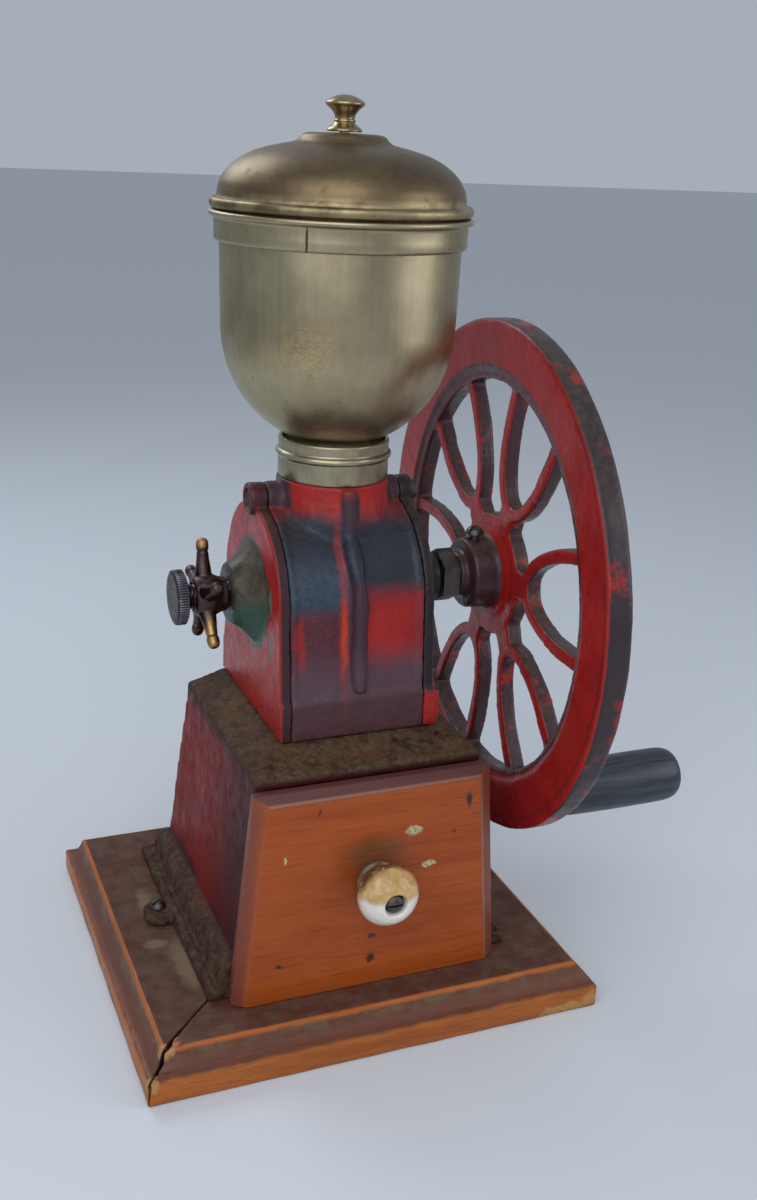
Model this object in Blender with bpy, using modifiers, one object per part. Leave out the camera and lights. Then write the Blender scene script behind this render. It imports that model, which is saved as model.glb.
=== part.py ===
"""Antique flywheel coffee mill: wooden base, iron box with a drawer, grinder housing, brass hopper, flywheel.

Frame: origin at the middle of the base's underside, +Z up, +X towards the flywheel, the drawer faces -Y.
Sizes below are in millimetres. MM turns them into the scene's metres where the meshes are made.
"""
import math

import bmesh
import bpy
from mathutils import Matrix, Vector

MM = 0.001
GAP = 0.3                    # clearance between pieces that rest on each other

# Wooden base
BASE_HALF_X, BASE_HALF_Y, BASE_TOP = 95.0, 88.0, 18.9
RAIL_WIDTH = 42.0
MITRE_GAP = 0.2              # how far each end of a rail stays short of the mitre line, along the rail
RAIL_EDGE = 10.5             # height of the moulding's plain outer edge
MOULDING_WIDTH = 8.3

# Cast box: half width, front and back at the bottom and at the top
BOX_BOTTOM, BOX_TOP = BASE_TOP + GAP, 112.0
BOX_LOW = (55.5, -59.7, 49.5)
BOX_HIGH = (46.5, -59.2, 41.0)
BOX_WALL = 4.0
SKIRT_OUT, SKIRT_EDGE, SKIRT_TOP = 9.5, 24.0, 41.0
LUG_X, LUG_Y, LUG_RADIUS, LUG_TOP = 68.8, 7.0, 6.4, 23.0
SHOULDER_TOP = 117.0
FOOT_SCREWS = (("housing_screw_front", -32.0), ("housing_screw_back", 32.0))

# Drawer
FRONT_BACK, FRONT_EDGE, FRONT_FACE = -60.1, -64.0, -67.5
FRONT_LOW_HALF, FRONT_HIGH_HALF, FRONT_TOP = 56.9, 48.6, 108.7
FRONT_BEVEL = 5.8
TRAY_HALF, TRAY_BACK, TRAY_TOP, BOARD = 41.0, 38.0, 74.0, 5.0
KNOB_X, KNOB_Z, KNOB_RADIUS = 0.5, 67.5, 12.2

# Grinder housing, extruded along X
AXLE_Z = 166.5
DRUM_LEFT, DRUM_RIGHT = -26.5, 29.0
COVER_LEFT, COVER_RIGHT = -31.0, 33.5
ARCH_RADIUS = 36.5
FOOT_HALF, LEDGE_HALF, LEDGE_Z = 41.0, 39.4, 133.0
FOOT_BOTTOM = SHOULDER_TOP + GAP
TAB_RIGHT = 35.7
CHAMBER_RADIUS = 28.5
RIB_X, RIB_RADIUS = 1.0, 3.7
EAR_Z, EAR_RADIUS = 205.0, 6.3
BOSS_LEFT, BOSS_RADIUS, BOSS_FLARE = -40.5, 11.5, 19.0
BEARING_RIGHT, BEARING_RADIUS = 48.5, 10.4
SHAFT_RADIUS, SHAFT_BORE = 5.0, 5.4
COILS, SPRING_START, SPRING_LENGTH, SPRING_RADIUS = 5, 0.2, 26.0, 8.3

# Hopper
HOPPER_X = 2.1
NECK_TOP, NECK_RADIUS, NECK_BORE = 222.0, 19.4, 15.5
COLLAR_LOW, COLLAR_TOP, COLLAR_RADIUS = 213.4, 228.8, 22.0
BOWL_RADIUS, BOWL_RIM, BOWL_STRAIGHT, BOWL_DEPTH = 45.7, 310.5, 268.0, 42.2
BRASS = 1.1                  # thickness of the spun brass
BAND_LOW, BAND_RADIUS, BEAD_RADIUS = 302.0, 47.6, 49.6

# Flywheel
RIM_LEFT, RIM_RIGHT, RIM_OUTER, RIM_INNER = 72.6, 83.5, 108.9, 83.8
WEB_LEFT, WEB_RIGHT = 75.5, 82.5
ARM_PAIRS, ARM_TURN, ARM_WIDTH = 6, 8.0, 6.0
TULIP_START, TULIP_HALF = 33.0, 20.5
HUB_DISC = 27.0
GRIP_CIRCLE, GRIP_ANGLE = 97.0, -60.0
GRIP_START, GRIP_END, GRIP_RADIUS = 85.5, 149.0, 11.7
SPINDLE_RADIUS = 3.0

# Adjusting gear on the left
HEAD_LEFT, HEAD_RIGHT, HEAD_RADIUS = -63.4, -58.6, 10.8
SCREW_RADIUS, SCREW_END = 5.1, -35.0
STAR_RIGHT, STAR_ARMS, STAR_TURN, STAR_REACH = -42.1, 5, 8.0, 23.0

PAINT = {
    "wood_rail": ((0.36, 0.13, 0.04), 0.45, 0.0),
    "wood_panel": ((0.30, 0.16, 0.08), 0.7, 0.0),
    "wood_front": ((0.55, 0.20, 0.06), 0.4, 0.0),
    "iron_red": ((0.42, 0.04, 0.03), 0.35, 0.2),
    "iron_black": ((0.05, 0.045, 0.05), 0.45, 0.4),
    "steel": ((0.42, 0.40, 0.38), 0.4, 1.0),
    "dark_steel": ((0.12, 0.10, 0.10), 0.45, 0.8),
    "brass": ((0.45, 0.36, 0.20), 0.32, 1.0),
    "bronze": ((0.50, 0.34, 0.16), 0.4, 1.0),
    "porcelain": ((0.85, 0.80, 0.68), 0.15, 0.0),
    "grip_black": ((0.03, 0.035, 0.045), 0.4, 0.0),
}

# Turns that lay a shape's own +Z along a world axis
ALONG = {
    "X": Matrix.Rotation(math.radians(90), 4, "Z") @ Matrix.Rotation(math.radians(90), 4, "X"),
    "-Y": Matrix.Rotation(math.radians(90), 4, "X"),
    "Z": Matrix.Identity(4),
}


# ---------------------------------------------------------------- helpers
def collection(name):
    made = bpy.data.collections.new(name)
    bpy.context.scene.collection.children.link(made)
    return made


def material(name):
    found = bpy.data.materials.get(name)
    if found:
        return found
    colour, roughness, metallic = PAINT[name]
    made = bpy.data.materials.new(name)
    made.use_nodes = True
    shader = made.node_tree.nodes["Principled BSDF"]
    shader.inputs["Base Color"].default_value = (*colour, 1.0)
    shader.inputs["Roughness"].default_value = roughness
    shader.inputs["Metallic"].default_value = metallic
    return made


def place(name, data, paint, at, along):
    """Adds an object to the model, or to the cutters when it has no paint. at is in millimetres."""
    made = bpy.data.objects.new(name, data)
    made.matrix_world = Matrix.Translation(Vector(at) * MM) @ ALONG[along]
    if paint:
        data.materials.append(material(paint))
        MODEL.objects.link(made)
    else:
        made.hide_render = True
        made.display_type = "WIRE"
        CUTTERS.objects.link(made)
    return made


def mesh_from(name, shape):
    data = bpy.data.meshes.new(name)
    shape.to_mesh(data)
    shape.free()
    return data


def smooth(data, angle=35):
    data.shade_smooth()
    data.set_sharp_from_angle(angle=math.radians(angle))


def block(name, low, high, paint=None):
    """A box between two corners."""
    shape = bmesh.new()
    bmesh.ops.create_cube(shape, size=1.0)
    size = [b - a for a, b in zip(low, high)]
    bmesh.ops.scale(shape, vec=Vector(size) * MM, verts=shape.verts)
    middle = [(a + b) / 2 for a, b in zip(low, high)]
    return place(name, mesh_from(name, shape), paint, middle, "Z")


def tapered(name, low, high, z_low, z_high, paint=None):
    """A block whose bottom and top are rectangles (left, right, front, back) of different size."""
    shape = bmesh.new()
    bmesh.ops.create_cube(shape, size=2.0)
    for vertex in shape.verts:
        left, right, front, back = high if vertex.co.z > 0 else low
        x = right if vertex.co.x > 0 else left
        y = back if vertex.co.y > 0 else front
        z = z_high if vertex.co.z > 0 else z_low
        vertex.co = Vector((x, y, z)) * MM
    return place(name, mesh_from(name, shape), paint, (0, 0, 0), "Z")


def rod(name, radius, start, end, at=(0.0, 0.0), along="X", paint=None, sides=24, radius_end=None):
    """A cylinder, cone or prism from start to end. at holds the two other coordinates of its axis."""
    shape = bmesh.new()
    bmesh.ops.create_cone(
        shape, cap_ends=True, segments=sides, radius1=radius * MM,
        radius2=(radius if radius_end is None else radius_end) * MM, depth=(end - start) * MM)
    data = mesh_from(name, shape)
    smooth(data)
    middle = (start + end) / 2
    position = {"X": (middle, *at), "-Y": (at[0], -middle, at[1]), "Z": (*at, middle)}[along]
    return place(name, data, paint, position, along)


def turned(name, profile, at=(0, 0, 0), along="Z", paint=None, steps=32, ring=False):
    """A turned shape. profile holds (radius, height) down its outer side, and back up if it is a ring."""
    data = bpy.data.meshes.new(name)
    count = len(profile)
    edges = [(i, i + 1) for i in range(count - 1)]
    if ring:
        edges.append((count - 1, 0))
    data.from_pydata([(radius * MM, 0, height * MM) for radius, height in profile], edges, [])
    made = place(name, data, paint, at, along)
    screw = made.modifiers.new("turn", "SCREW")
    screw.steps = steps
    screw.render_steps = steps
    screw.use_merge_vertices = True
    screw.merge_threshold = 0.000001
    screw.use_smooth_shade = True
    return made


def mesh_of_curve(curve, name):
    """The closed mesh that a filled curve makes, with its caps welded."""
    holder = bpy.data.objects.new(name, curve)
    bpy.context.scene.collection.objects.link(holder)
    graph = bpy.context.evaluated_depsgraph_get()
    data = bpy.data.meshes.new_from_object(holder.evaluated_get(graph))
    bpy.data.objects.remove(holder)
    bpy.data.curves.remove(curve)
    shape = bmesh.new()
    shape.from_mesh(data)
    bmesh.ops.remove_doubles(shape, verts=shape.verts, dist=0.000001)
    shape.to_mesh(data)
    shape.free()
    return data


def plate(name, outlines, start, end, at=(0, 0, 0), along="X", paint=None):
    """Flat outlines, drawn across the axis, that are extruded from start to end along it."""
    curve = bpy.data.curves.new(name, "CURVE")
    curve.dimensions = "2D"
    curve.fill_mode = "BOTH"
    curve.extrude = (end - start) / 2 * MM
    for outline in outlines:
        spline = curve.splines.new("POLY")
        spline.points.add(len(outline) - 1)
        spline.use_cyclic_u = True
        for point, (u, v) in zip(spline.points, outline):
            point.co = (u * MM, v * MM, 0, 1)
    data = mesh_of_curve(curve, name)
    step = ALONG[along].to_3x3() @ Vector((0, 0, (start + end) / 2))
    return place(name, data, paint, Vector(at) + step, along)


def tube(name, points, radius, paint=None, roundness=2):
    """A round bar along points, with filled ends."""
    curve = bpy.data.curves.new(name, "CURVE")
    curve.dimensions = "3D"
    curve.bevel_depth = radius * MM
    curve.bevel_resolution = roundness
    curve.use_fill_caps = True
    spline = curve.splines.new("POLY")
    spline.points.add(len(points) - 1)
    for point, position in zip(spline.points, points):
        point.co = (*(Vector(position) * MM), 1)
    data = mesh_of_curve(curve, name)
    smooth(data)
    return place(name, data, paint, (0, 0, 0), "Z")


def combine(target, other, operation):
    change = target.modifiers.new(other.name, "BOOLEAN")
    change.operation = operation
    change.solver = "EXACT"
    change.object = other


def join(target, *others):
    for other in others:
        combine(target, other, "UNION")


def cut(target, *others):
    for other in others:
        combine(target, other, "DIFFERENCE")


def arc(radius, first, last, count, centre=(0, 0)):
    """Points on an arc, angles in degrees."""
    turn = [math.radians(first + (last - first) * i / count) for i in range(count + 1)]
    return [(centre[0] + radius * math.cos(a), centre[1] + radius * math.sin(a)) for a in turn]


def on_wheel(radius, degrees):
    """Y and Z of a point on the wheel. The angle starts at the front and rises."""
    angle = math.radians(degrees)
    return (-radius * math.cos(angle), AXLE_Z + radius * math.sin(angle))


# ---------------------------------------------------------------- base
def moulding():
    """A rail's section: distance in from the outer edge, and height."""
    ogee = [
        (MOULDING_WIDTH * (0.12 + 0.88 * t),
         RAIL_EDGE + 0.4 + (BASE_TOP - RAIL_EDGE - 0.4) * (1 - math.cos(math.pi * t)) / 2)
        for t in (0.0, 0.25, 0.45, 0.65, 0.85, 1.0)
    ]
    return [(0, 0), (0, RAIL_EDGE)] + ogee + [(RAIL_WIDTH, BASE_TOP), (RAIL_WIDTH, 0)]


def base_rail(name, reach, distance, turn):
    """One mitred rail. reach is half its length, distance is from the middle to its outer edge."""
    rail = plate(name, [moulding()], -reach, reach, at=(0, -distance, 0), paint="wood_rail")
    outer, inner = reach + 1 - MITRE_GAP, reach - RAIL_WIDTH - 1 - MITRE_GAP
    corners = [
        (-outer, -distance - 1), (outer, -distance - 1),
        (inner, -distance + RAIL_WIDTH + 1), (-inner, -distance + RAIL_WIDTH + 1)]
    mitre = plate("mitre_" + name, [corners], -5, BASE_TOP + 5, along="Z")
    combine(rail, mitre, "INTERSECT")
    spin = Matrix.Rotation(math.radians(turn), 4, "Z")
    rail.matrix_world = spin @ rail.matrix_world
    mitre.matrix_world = spin @ mitre.matrix_world


def build_base():
    for name, turn in (("base_rail_front", 0), ("base_rail_back", 180)):
        base_rail(name, BASE_HALF_X, BASE_HALF_Y, turn)
    for name, turn in (("base_rail_right", 90), ("base_rail_left", -90)):
        base_rail(name, BASE_HALF_Y, BASE_HALF_X, turn)
    inner_x = BASE_HALF_X - RAIL_WIDTH - GAP
    inner_y = BASE_HALF_Y - RAIL_WIDTH - GAP
    block("base_panel", (-inner_x, -inner_y, 0), (inner_x, inner_y, BASE_TOP - GAP), "wood_panel")


# ---------------------------------------------------------------- box and drawer
def box_width(z):
    """Half width and back of the box's outside at height z."""
    share = (z - BOX_BOTTOM) / (BOX_TOP - BOX_BOTTOM)
    half = BOX_LOW[0] + (BOX_HIGH[0] - BOX_LOW[0]) * share
    back = BOX_LOW[2] + (BOX_HIGH[2] - BOX_LOW[2]) * share
    return half, back


def box_slice(name, z_low, z_high, grow_low=0.0, grow_high=0.0, front=None):
    """A stretch of the tapered box between two heights, grown sideways and backwards."""
    rectangles = []
    for z, grow in ((z_low, grow_low), (z_high, grow_high)):
        half, back = box_width(z)
        rectangles.append((-half - grow, half + grow, BOX_LOW[1] if front is None else front, back + grow))
    return tapered(name, rectangles[0], rectangles[1], z_low, z_high)


def build_box():
    half, back = box_width(BOX_BOTTOM)
    high_half, high_back = box_width(BOX_TOP)
    box = tapered(
        "box_casting", (-half, half, BOX_LOW[1], back), (-high_half, high_half, BOX_HIGH[1], high_back),
        BOX_BOTTOM, BOX_TOP, "iron_red")
    shoulder = tapered(
        "shoulder", (-high_half, high_half, BOX_HIGH[1], high_back),
        (DRUM_LEFT - 5.5, TAB_RIGHT + 1.0, -FOOT_HALF - 1.0, high_back - 0.2), BOX_TOP - 0.01, SHOULDER_TOP)
    skirt_edge = box_slice("skirt_edge", BOX_BOTTOM, SKIRT_EDGE, SKIRT_OUT, SKIRT_OUT)
    skirt = box_slice("skirt", SKIRT_EDGE - 0.01, SKIRT_TOP, SKIRT_OUT, 0.6)
    lugs = [rod("lug", LUG_RADIUS, BOX_BOTTOM, LUG_TOP, (x, LUG_Y), "Z", sides=24) for x in (-LUG_X, LUG_X)]
    join(box, shoulder, skirt_edge, skirt, *lugs)
    hollow = box_slice("hollow", BOX_BOTTOM - 1, BOX_TOP - BOX_WALL, -BOX_WALL, -BOX_WALL, front=FRONT_EDGE)
    chute = block("chute", (-26.0, -12, BOX_TOP - 8), (-17.5, 12, SHOULDER_TOP + 1))
    screw_holes = [
        rod("lug_hole", 2.3, BOX_BOTTOM - 1, LUG_TOP + 1, (x, LUG_Y), "Z", sides=16) for x in (-LUG_X, LUG_X)]
    foot_holes = [
        rod("foot_hole", 2.4, BOX_TOP - 8, SHOULDER_TOP + 1, (HOPPER_X, y), "Z", sides=16)
        for _, y in FOOT_SCREWS]
    cut(box, hollow, chute, *screw_holes, *foot_holes)

    for name, x in (("base_screw_left", -LUG_X), ("base_screw_right", LUG_X)):
        slotted_screw(name, (x, LUG_Y, LUG_TOP + GAP), "Z", head=3.4, shank=1.8, length=3.9, paint="steel")
    for name, y in FOOT_SCREWS:
        top = BOX_TOP - BOX_WALL - GAP
        turned(
            name, [(0, 126), (2.0, 126), (2.0, top), (4.2, top), (4.2, top - 3), (0, top - 3)],
            (HOPPER_X, y, 0), paint="steel", steps=16)


def slotted_screw(name, at, along, head, shank, length, paint):
    """A round-head screw with a slot. at is the middle of the head's underside, length is the shank's."""
    dome = [(0, 2.6), (head * 0.55, 2.3), (head * 0.9, 1.3), (head, 0)]
    screw = turned(name, dome + [(shank, 0), (shank, -length), (0, -length)], at, along, paint, steps=16)
    slot = block("slot_" + name, (-head - 1, -0.5, 1.2), (head + 1, 0.5, 4))
    slot.matrix_world = screw.matrix_world @ slot.matrix_world
    cut(screw, slot)
    return screw


def drawer_front():
    """The front board: a tapered slab whose face is drawn in on the left, the right and the top."""
    shape = bmesh.new()
    bmesh.ops.create_cube(shape, size=2.0)
    bottom = BASE_TOP + 0.4
    for vertex in shape.verts:
        half = FRONT_HIGH_HALF if vertex.co.z > 0 else FRONT_LOW_HALF
        z = FRONT_TOP if vertex.co.z > 0 else bottom
        y = FRONT_BACK if vertex.co.y > 0 else FRONT_EDGE
        vertex.co = Vector((math.copysign(half, vertex.co.x), y, z)) * MM
    face = min(shape.faces, key=lambda f: f.calc_center_median().y)
    drawn = bmesh.ops.extrude_face_region(shape, geom=[face])["geom"]
    bmesh.ops.delete(shape, geom=[face], context="FACES_ONLY")
    for vertex in (item for item in drawn if isinstance(item, bmesh.types.BMVert)):
        vertex.co.x -= math.copysign(FRONT_BEVEL * MM, vertex.co.x)
        vertex.co.y = FRONT_FACE * MM
        if vertex.co.z > KNOB_Z * MM:
            vertex.co.z -= FRONT_BEVEL * 0.7 * MM
    bmesh.ops.recalc_face_normals(shape, faces=shape.faces)
    front = place("drawer_front", mesh_from("drawer_front", shape), "wood_front", (0, 0, 0), "Z")
    cut(front, rod("knob_hole", 2.4, -FRONT_BACK - 5, -FRONT_FACE + 5, (KNOB_X, KNOB_Z), "-Y", sides=20))


def build_drawer():
    drawer_front()
    low = BASE_TOP + 0.4
    start = FRONT_BACK + GAP
    for name, side in (("drawer_side_left", -1), ("drawer_side_right", 1)):
        outer, inner = side * TRAY_HALF, side * (TRAY_HALF - BOARD)
        block(name, (min(outer, inner), start, low), (max(outer, inner), TRAY_BACK, TRAY_TOP), "wood_panel")
    between = TRAY_HALF - BOARD - GAP
    block("drawer_back", (-between, TRAY_BACK - BOARD, low), (between, TRAY_BACK, TRAY_TOP), "wood_panel")
    end = TRAY_BACK - BOARD - GAP
    block("drawer_bottom", (-between, start, low + 2), (between, end, low + 5), "wood_panel")

    knob_at = (KNOB_X, FRONT_FACE - GAP, KNOB_Z)
    turns = [math.radians(a) for a in (140, 120, 100, 80, 60, 42)]
    ball = [(KNOB_RADIUS * math.sin(a), 12.2 - 9.2 * math.cos(a)) for a in turns]
    profile = [(4.6, 20.0), (5.6, 20.6)] + ball + [(6.0, 3.8), (6.4, 2.6), (8.4, 2.2), (8.6, 0.0)]
    bore = [(2.5, 0.0), (2.5, 18.0), (4.6, 18.0)]
    turned("drawer_knob", profile + bore, knob_at, "-Y", "porcelain", steps=26, ring=True)
    slotted_screw(
        "drawer_knob_screw", (KNOB_X, FRONT_FACE - GAP - 18.3, KNOB_Z), "-Y",
        head=4.0, shank=2.0, length=30.3, paint="dark_steel")
    behind = -FRONT_BACK - 0.6
    nut = rod("drawer_knob_nut", 4.2, behind - 3.0, behind, (KNOB_X, KNOB_Z), "-Y", "steel", 6)
    cut(nut, rod("nut_hole", 2.3, -FRONT_BACK - 6, -FRONT_BACK + 6, (KNOB_X, KNOB_Z), "-Y", sides=20))


# ---------------------------------------------------------------- grinder housing
def arch_outline():
    """The housing seen along X: foot, ledge, leaning sides and the arch over the axle."""
    right = [(FOOT_HALF, FOOT_BOTTOM), (FOOT_HALF, LEDGE_Z), (LEDGE_HALF, LEDGE_Z + 0.8)]
    left = [(-y, z) for y, z in reversed(right)]
    return right + arc(ARCH_RADIUS, 0, 180, 18, (0, AXLE_Z)) + left


def ear(name, start, end):
    return rod(name, EAR_RADIUS, start, end, (0, EAR_Z), sides=24)


def build_housing():
    housing = plate("grinder_housing", [arch_outline()], DRUM_LEFT, DRUM_RIGHT, paint="iron_black")
    sweep = arc(ARCH_RADIUS, 0, 180, 14, (0, AXLE_Z))
    path = [(LEDGE_HALF, LEDGE_Z + 2)] + sweep + [(-LEDGE_HALF, LEDGE_Z + 2)]
    rib = tube("rib", [(RIB_X, y, z) for y, z in path], RIB_RADIUS)
    neck = turned(
        "neck",
        [(0, NECK_TOP), (NECK_RADIUS, NECK_TOP), (NECK_RADIUS, COLLAR_LOW - GAP), (22.3, COLLAR_LOW - GAP),
         (22.5, 211), (23.4, 208.6), (25.0, 206.2), (26.6, 204.3), (26.6, 190), (0, 190)],
        (HOPPER_X, 0, 0), steps=30)
    join(housing, rib, neck, ear("ear_left", DRUM_LEFT, -19), ear("ear_right", 21, DRUM_RIGHT))
    chamber = rod("chamber", CHAMBER_RADIUS, DRUM_LEFT - 1, DRUM_RIGHT + 1, (0, AXLE_Z), sides=32)
    throat = rod("throat", NECK_BORE, AXLE_Z + 10, NECK_TOP + 1, (HOPPER_X, 0), "Z")
    outlet = block("outlet", (-26.0, -12, FOOT_BOTTOM - 1), (-17.5, 12, AXLE_Z - 20))
    bolt_holes = [
        rod("bolt_hole_left", 2.4, DRUM_LEFT - 1, -20.4, (0, EAR_Z), sides=16),
        rod("bolt_hole_right", 2.4, 22.4, DRUM_RIGHT + 1, (0, EAR_Z), sides=16)]
    foot_holes = [
        rod("tapped_hole", 2.4, FOOT_BOTTOM - 1, 126.5, (HOPPER_X, y), "Z", sides=16) for _, y in FOOT_SCREWS]
    cut(housing, chamber, throat, outlet, *bolt_holes, *foot_holes)


def build_covers():
    left = plate("left_cover", [arch_outline()], COVER_LEFT, DRUM_LEFT - GAP, paint="iron_red")
    flare = [
        (BOSS_RADIUS + (BOSS_FLARE - BOSS_RADIUS) * t ** 2.2, (COVER_LEFT - BOSS_LEFT + 0.5) * t)
        for t in (1.0, 0.8, 0.6, 0.3, 0.0)]
    outline = [(0, flare[0][1])] + flare + [(0, 0)]
    boss = turned("trumpet_boss", outline, (BOSS_LEFT, 0, AXLE_Z), "X", steps=28)
    inner_boss = rod("inner_boss", 9.0, DRUM_LEFT - 1, -20.5, (0, AXLE_Z), sides=26)
    join(left, boss, inner_boss, ear("ear_cover_left", COVER_LEFT, DRUM_LEFT - GAP))
    cut(left,
        rod("screw_bore", SCREW_RADIUS + 0.4, BOSS_LEFT - 1, -19, (0, AXLE_Z)),
        rod("cover_hole_left", 2.4, COVER_LEFT - 1, DRUM_LEFT + 1, (0, EAR_Z), sides=16))

    right = plate("right_cover", [arch_outline()], DRUM_RIGHT + GAP, COVER_RIGHT, paint="iron_black")
    tab = block(
        "tab", (DRUM_RIGHT + GAP, -FOOT_HALF, FOOT_BOTTOM), (TAB_RIGHT, FOOT_HALF, LEDGE_Z - 1))
    bearing = rod("bearing", BEARING_RADIUS, COVER_RIGHT - 1, BEARING_RIGHT, (0, AXLE_Z), sides=28)
    join(right, tab, bearing, ear("ear_cover_right", DRUM_RIGHT + GAP, COVER_RIGHT + 1.5))
    cut(right,
        rod("bush_bore", 7.4, DRUM_RIGHT - 1, BEARING_RIGHT + 1, (0, AXLE_Z), sides=28),
        rod("cover_hole_right", 2.4, DRUM_RIGHT - 1, COVER_RIGHT + 3, (0, EAR_Z), sides=16))

    bolt(name="left_cover_bolt", face=COVER_LEFT, side=-1)
    bolt(name="right_cover_bolt", face=COVER_RIGHT + 1.5, side=1)


def bolt(name, face, side):
    """A cheese-head bolt through a cover's ear into the housing's. side is -1 when its head faces -X."""
    head = face + side * GAP
    tip = -21.0 if side < 0 else 23.0
    low, high = sorted((tip, head + side))
    shank = rod(name, 2.05, low, high, (0, EAR_Z), paint="dark_steel", sides=16)
    top = head + side * 2.4
    cap = rod("cap_" + name, 4.0, min(head, top), max(head, top), (0, EAR_Z), sides=20)
    slot_ends = sorted((top - side * 1.0, top + side))
    slot = block("slot_" + name, (slot_ends[0], -5, EAR_Z - 0.5), (slot_ends[1], 5, EAR_Z + 0.5))
    join(shank, cap)
    cut(shank, slot)


# ---------------------------------------------------------------- grinding gear
def toothed(name, radius, radius_end, start, end, depth, paint=None, teeth=14):
    """A cone with straight teeth: every other corner of its outline is pulled in."""
    made = rod(name, radius, start, end, (0, AXLE_Z), paint=paint, sides=teeth * 2, radius_end=radius_end)
    for vertex in made.data.vertices:
        corner = round(math.degrees(math.atan2(vertex.co.y, vertex.co.x)) / (180 / teeth))
        if corner % 2:
            vertex.co.x *= 1 - depth
            vertex.co.y *= 1 - depth
    return made


def build_gear():
    outer = rod("outer_burr", CHAMBER_RADIUS - 0.5, -16.5, -1.5, (0, AXLE_Z), paint="dark_steel", sides=32)
    cut(outer, toothed("outer_teeth", 24.2, 17.4, -17.5, -0.5, 0.09))
    inner = toothed("inner_burr", 20.4, 13.8, -17.0, -1.0, 0.09, "dark_steel")
    cut(inner,
        rod("burr_bore", SHAFT_BORE, -18, 0, (0, AXLE_Z)),
        rod("pin_bore", 1.5, -30, 30, (-9, AXLE_Z), "-Y", sides=12))
    shaft = rod("main_shaft", SHAFT_RADIUS, -28.4, RIM_RIGHT + 1.5, (0, AXLE_Z), paint="steel")
    cut(shaft, rod("shaft_pin_bore", 1.5, -30, 30, (-9, AXLE_Z), "-Y", sides=12))
    rod("burr_pin", 1.2, -12, 12, (-9, AXLE_Z), "-Y", "steel", 12)

    steps = COILS * 10
    turns = [2 * math.pi * i / 10 for i in range(steps + 1)]
    points = [
        (SPRING_START + SPRING_LENGTH * i / steps,
         SPRING_RADIUS * math.cos(a),
         AXLE_Z + SPRING_RADIUS * math.sin(a))
        for i, a in enumerate(turns)]
    tube("return_spring", points, 0.9, "steel", roundness=1)
    turned(
        "bearing_bush",
        [(7.0, BEARING_RIGHT - 0.4), (7.0, DRUM_RIGHT + GAP), (SHAFT_BORE, DRUM_RIGHT + GAP),
         (SHAFT_BORE, BEARING_RIGHT - 0.4)],
        (0, 0, AXLE_Z), "X", "bronze", steps=28, ring=True)


def build_adjuster():
    shape = bmesh.new()
    bmesh.ops.create_uvsphere(shape, u_segments=12, v_segments=8, radius=3.0 * MM)
    data = mesh_from("thrust_ball", shape)
    smooth(data)
    place("thrust_ball", data, "steel", ((SCREW_END - 28.4) / 2, 0, AXLE_Z), "X")

    turned(
        "adjusting_screw",
        [(0, 0.0), (SCREW_RADIUS, 0.0),
         (SCREW_RADIUS, HEAD_RIGHT - SCREW_END), (HEAD_RADIUS, HEAD_RIGHT - SCREW_END),
         (HEAD_RADIUS, HEAD_LEFT + 1.2 - SCREW_END), (HEAD_RADIUS - 1.4, HEAD_LEFT - SCREW_END),
         (0, HEAD_LEFT - SCREW_END)],
        (SCREW_END, 0, AXLE_Z), "X", "dark_steel", steps=32)

    nut = turned(
        "star_lock_nut", [(0, 0), (8.2, 0), (9.0, -1), (9.0, -11.8), (8.0, -13), (0, -13)],
        (STAR_RIGHT, 0, AXLE_Z), "X", "bronze", steps=24)
    for number in range(STAR_ARMS):
        arm = turned(
            "star_arm", [(0, STAR_REACH), (1.7, STAR_REACH - 0.3),
                         (2.4, STAR_REACH - 1.6), (2.4, STAR_REACH - 4.6),
                         (2.1, STAR_REACH - 5.2), (3.4, 7.0), (3.4, 5.8), (0, 5.8)],
            (STAR_RIGHT - 8.4, 0, AXLE_Z), "Z", steps=12)
        turn = Matrix.Rotation(math.radians(number * 360 / STAR_ARMS - STAR_TURN), 4, "X")
        hub = Matrix.Translation(Vector((0, 0, AXLE_Z)) * MM)
        arm.matrix_world = hub @ turn @ hub.inverted() @ arm.matrix_world
        join(nut, arm)
    cut(nut, rod("star_bore", SCREW_RADIUS + 0.4, STAR_RIGHT - 15, STAR_RIGHT + 1, (0, AXLE_Z)))


# ---------------------------------------------------------------- hopper
def bowl_curve(offset, count=6):
    """The bowl's round bottom as (radius, height), from the straight wall down to the neck."""
    low = math.acos((NECK_RADIUS + 1.6) / BOWL_RADIUS)
    points = []
    for i in range(count + 1):
        angle = low * i / count
        points.append(((BOWL_RADIUS - offset) * math.cos(angle),
                       BOWL_STRAIGHT - (BOWL_DEPTH - offset) * math.sin(angle)))
    return points


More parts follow.
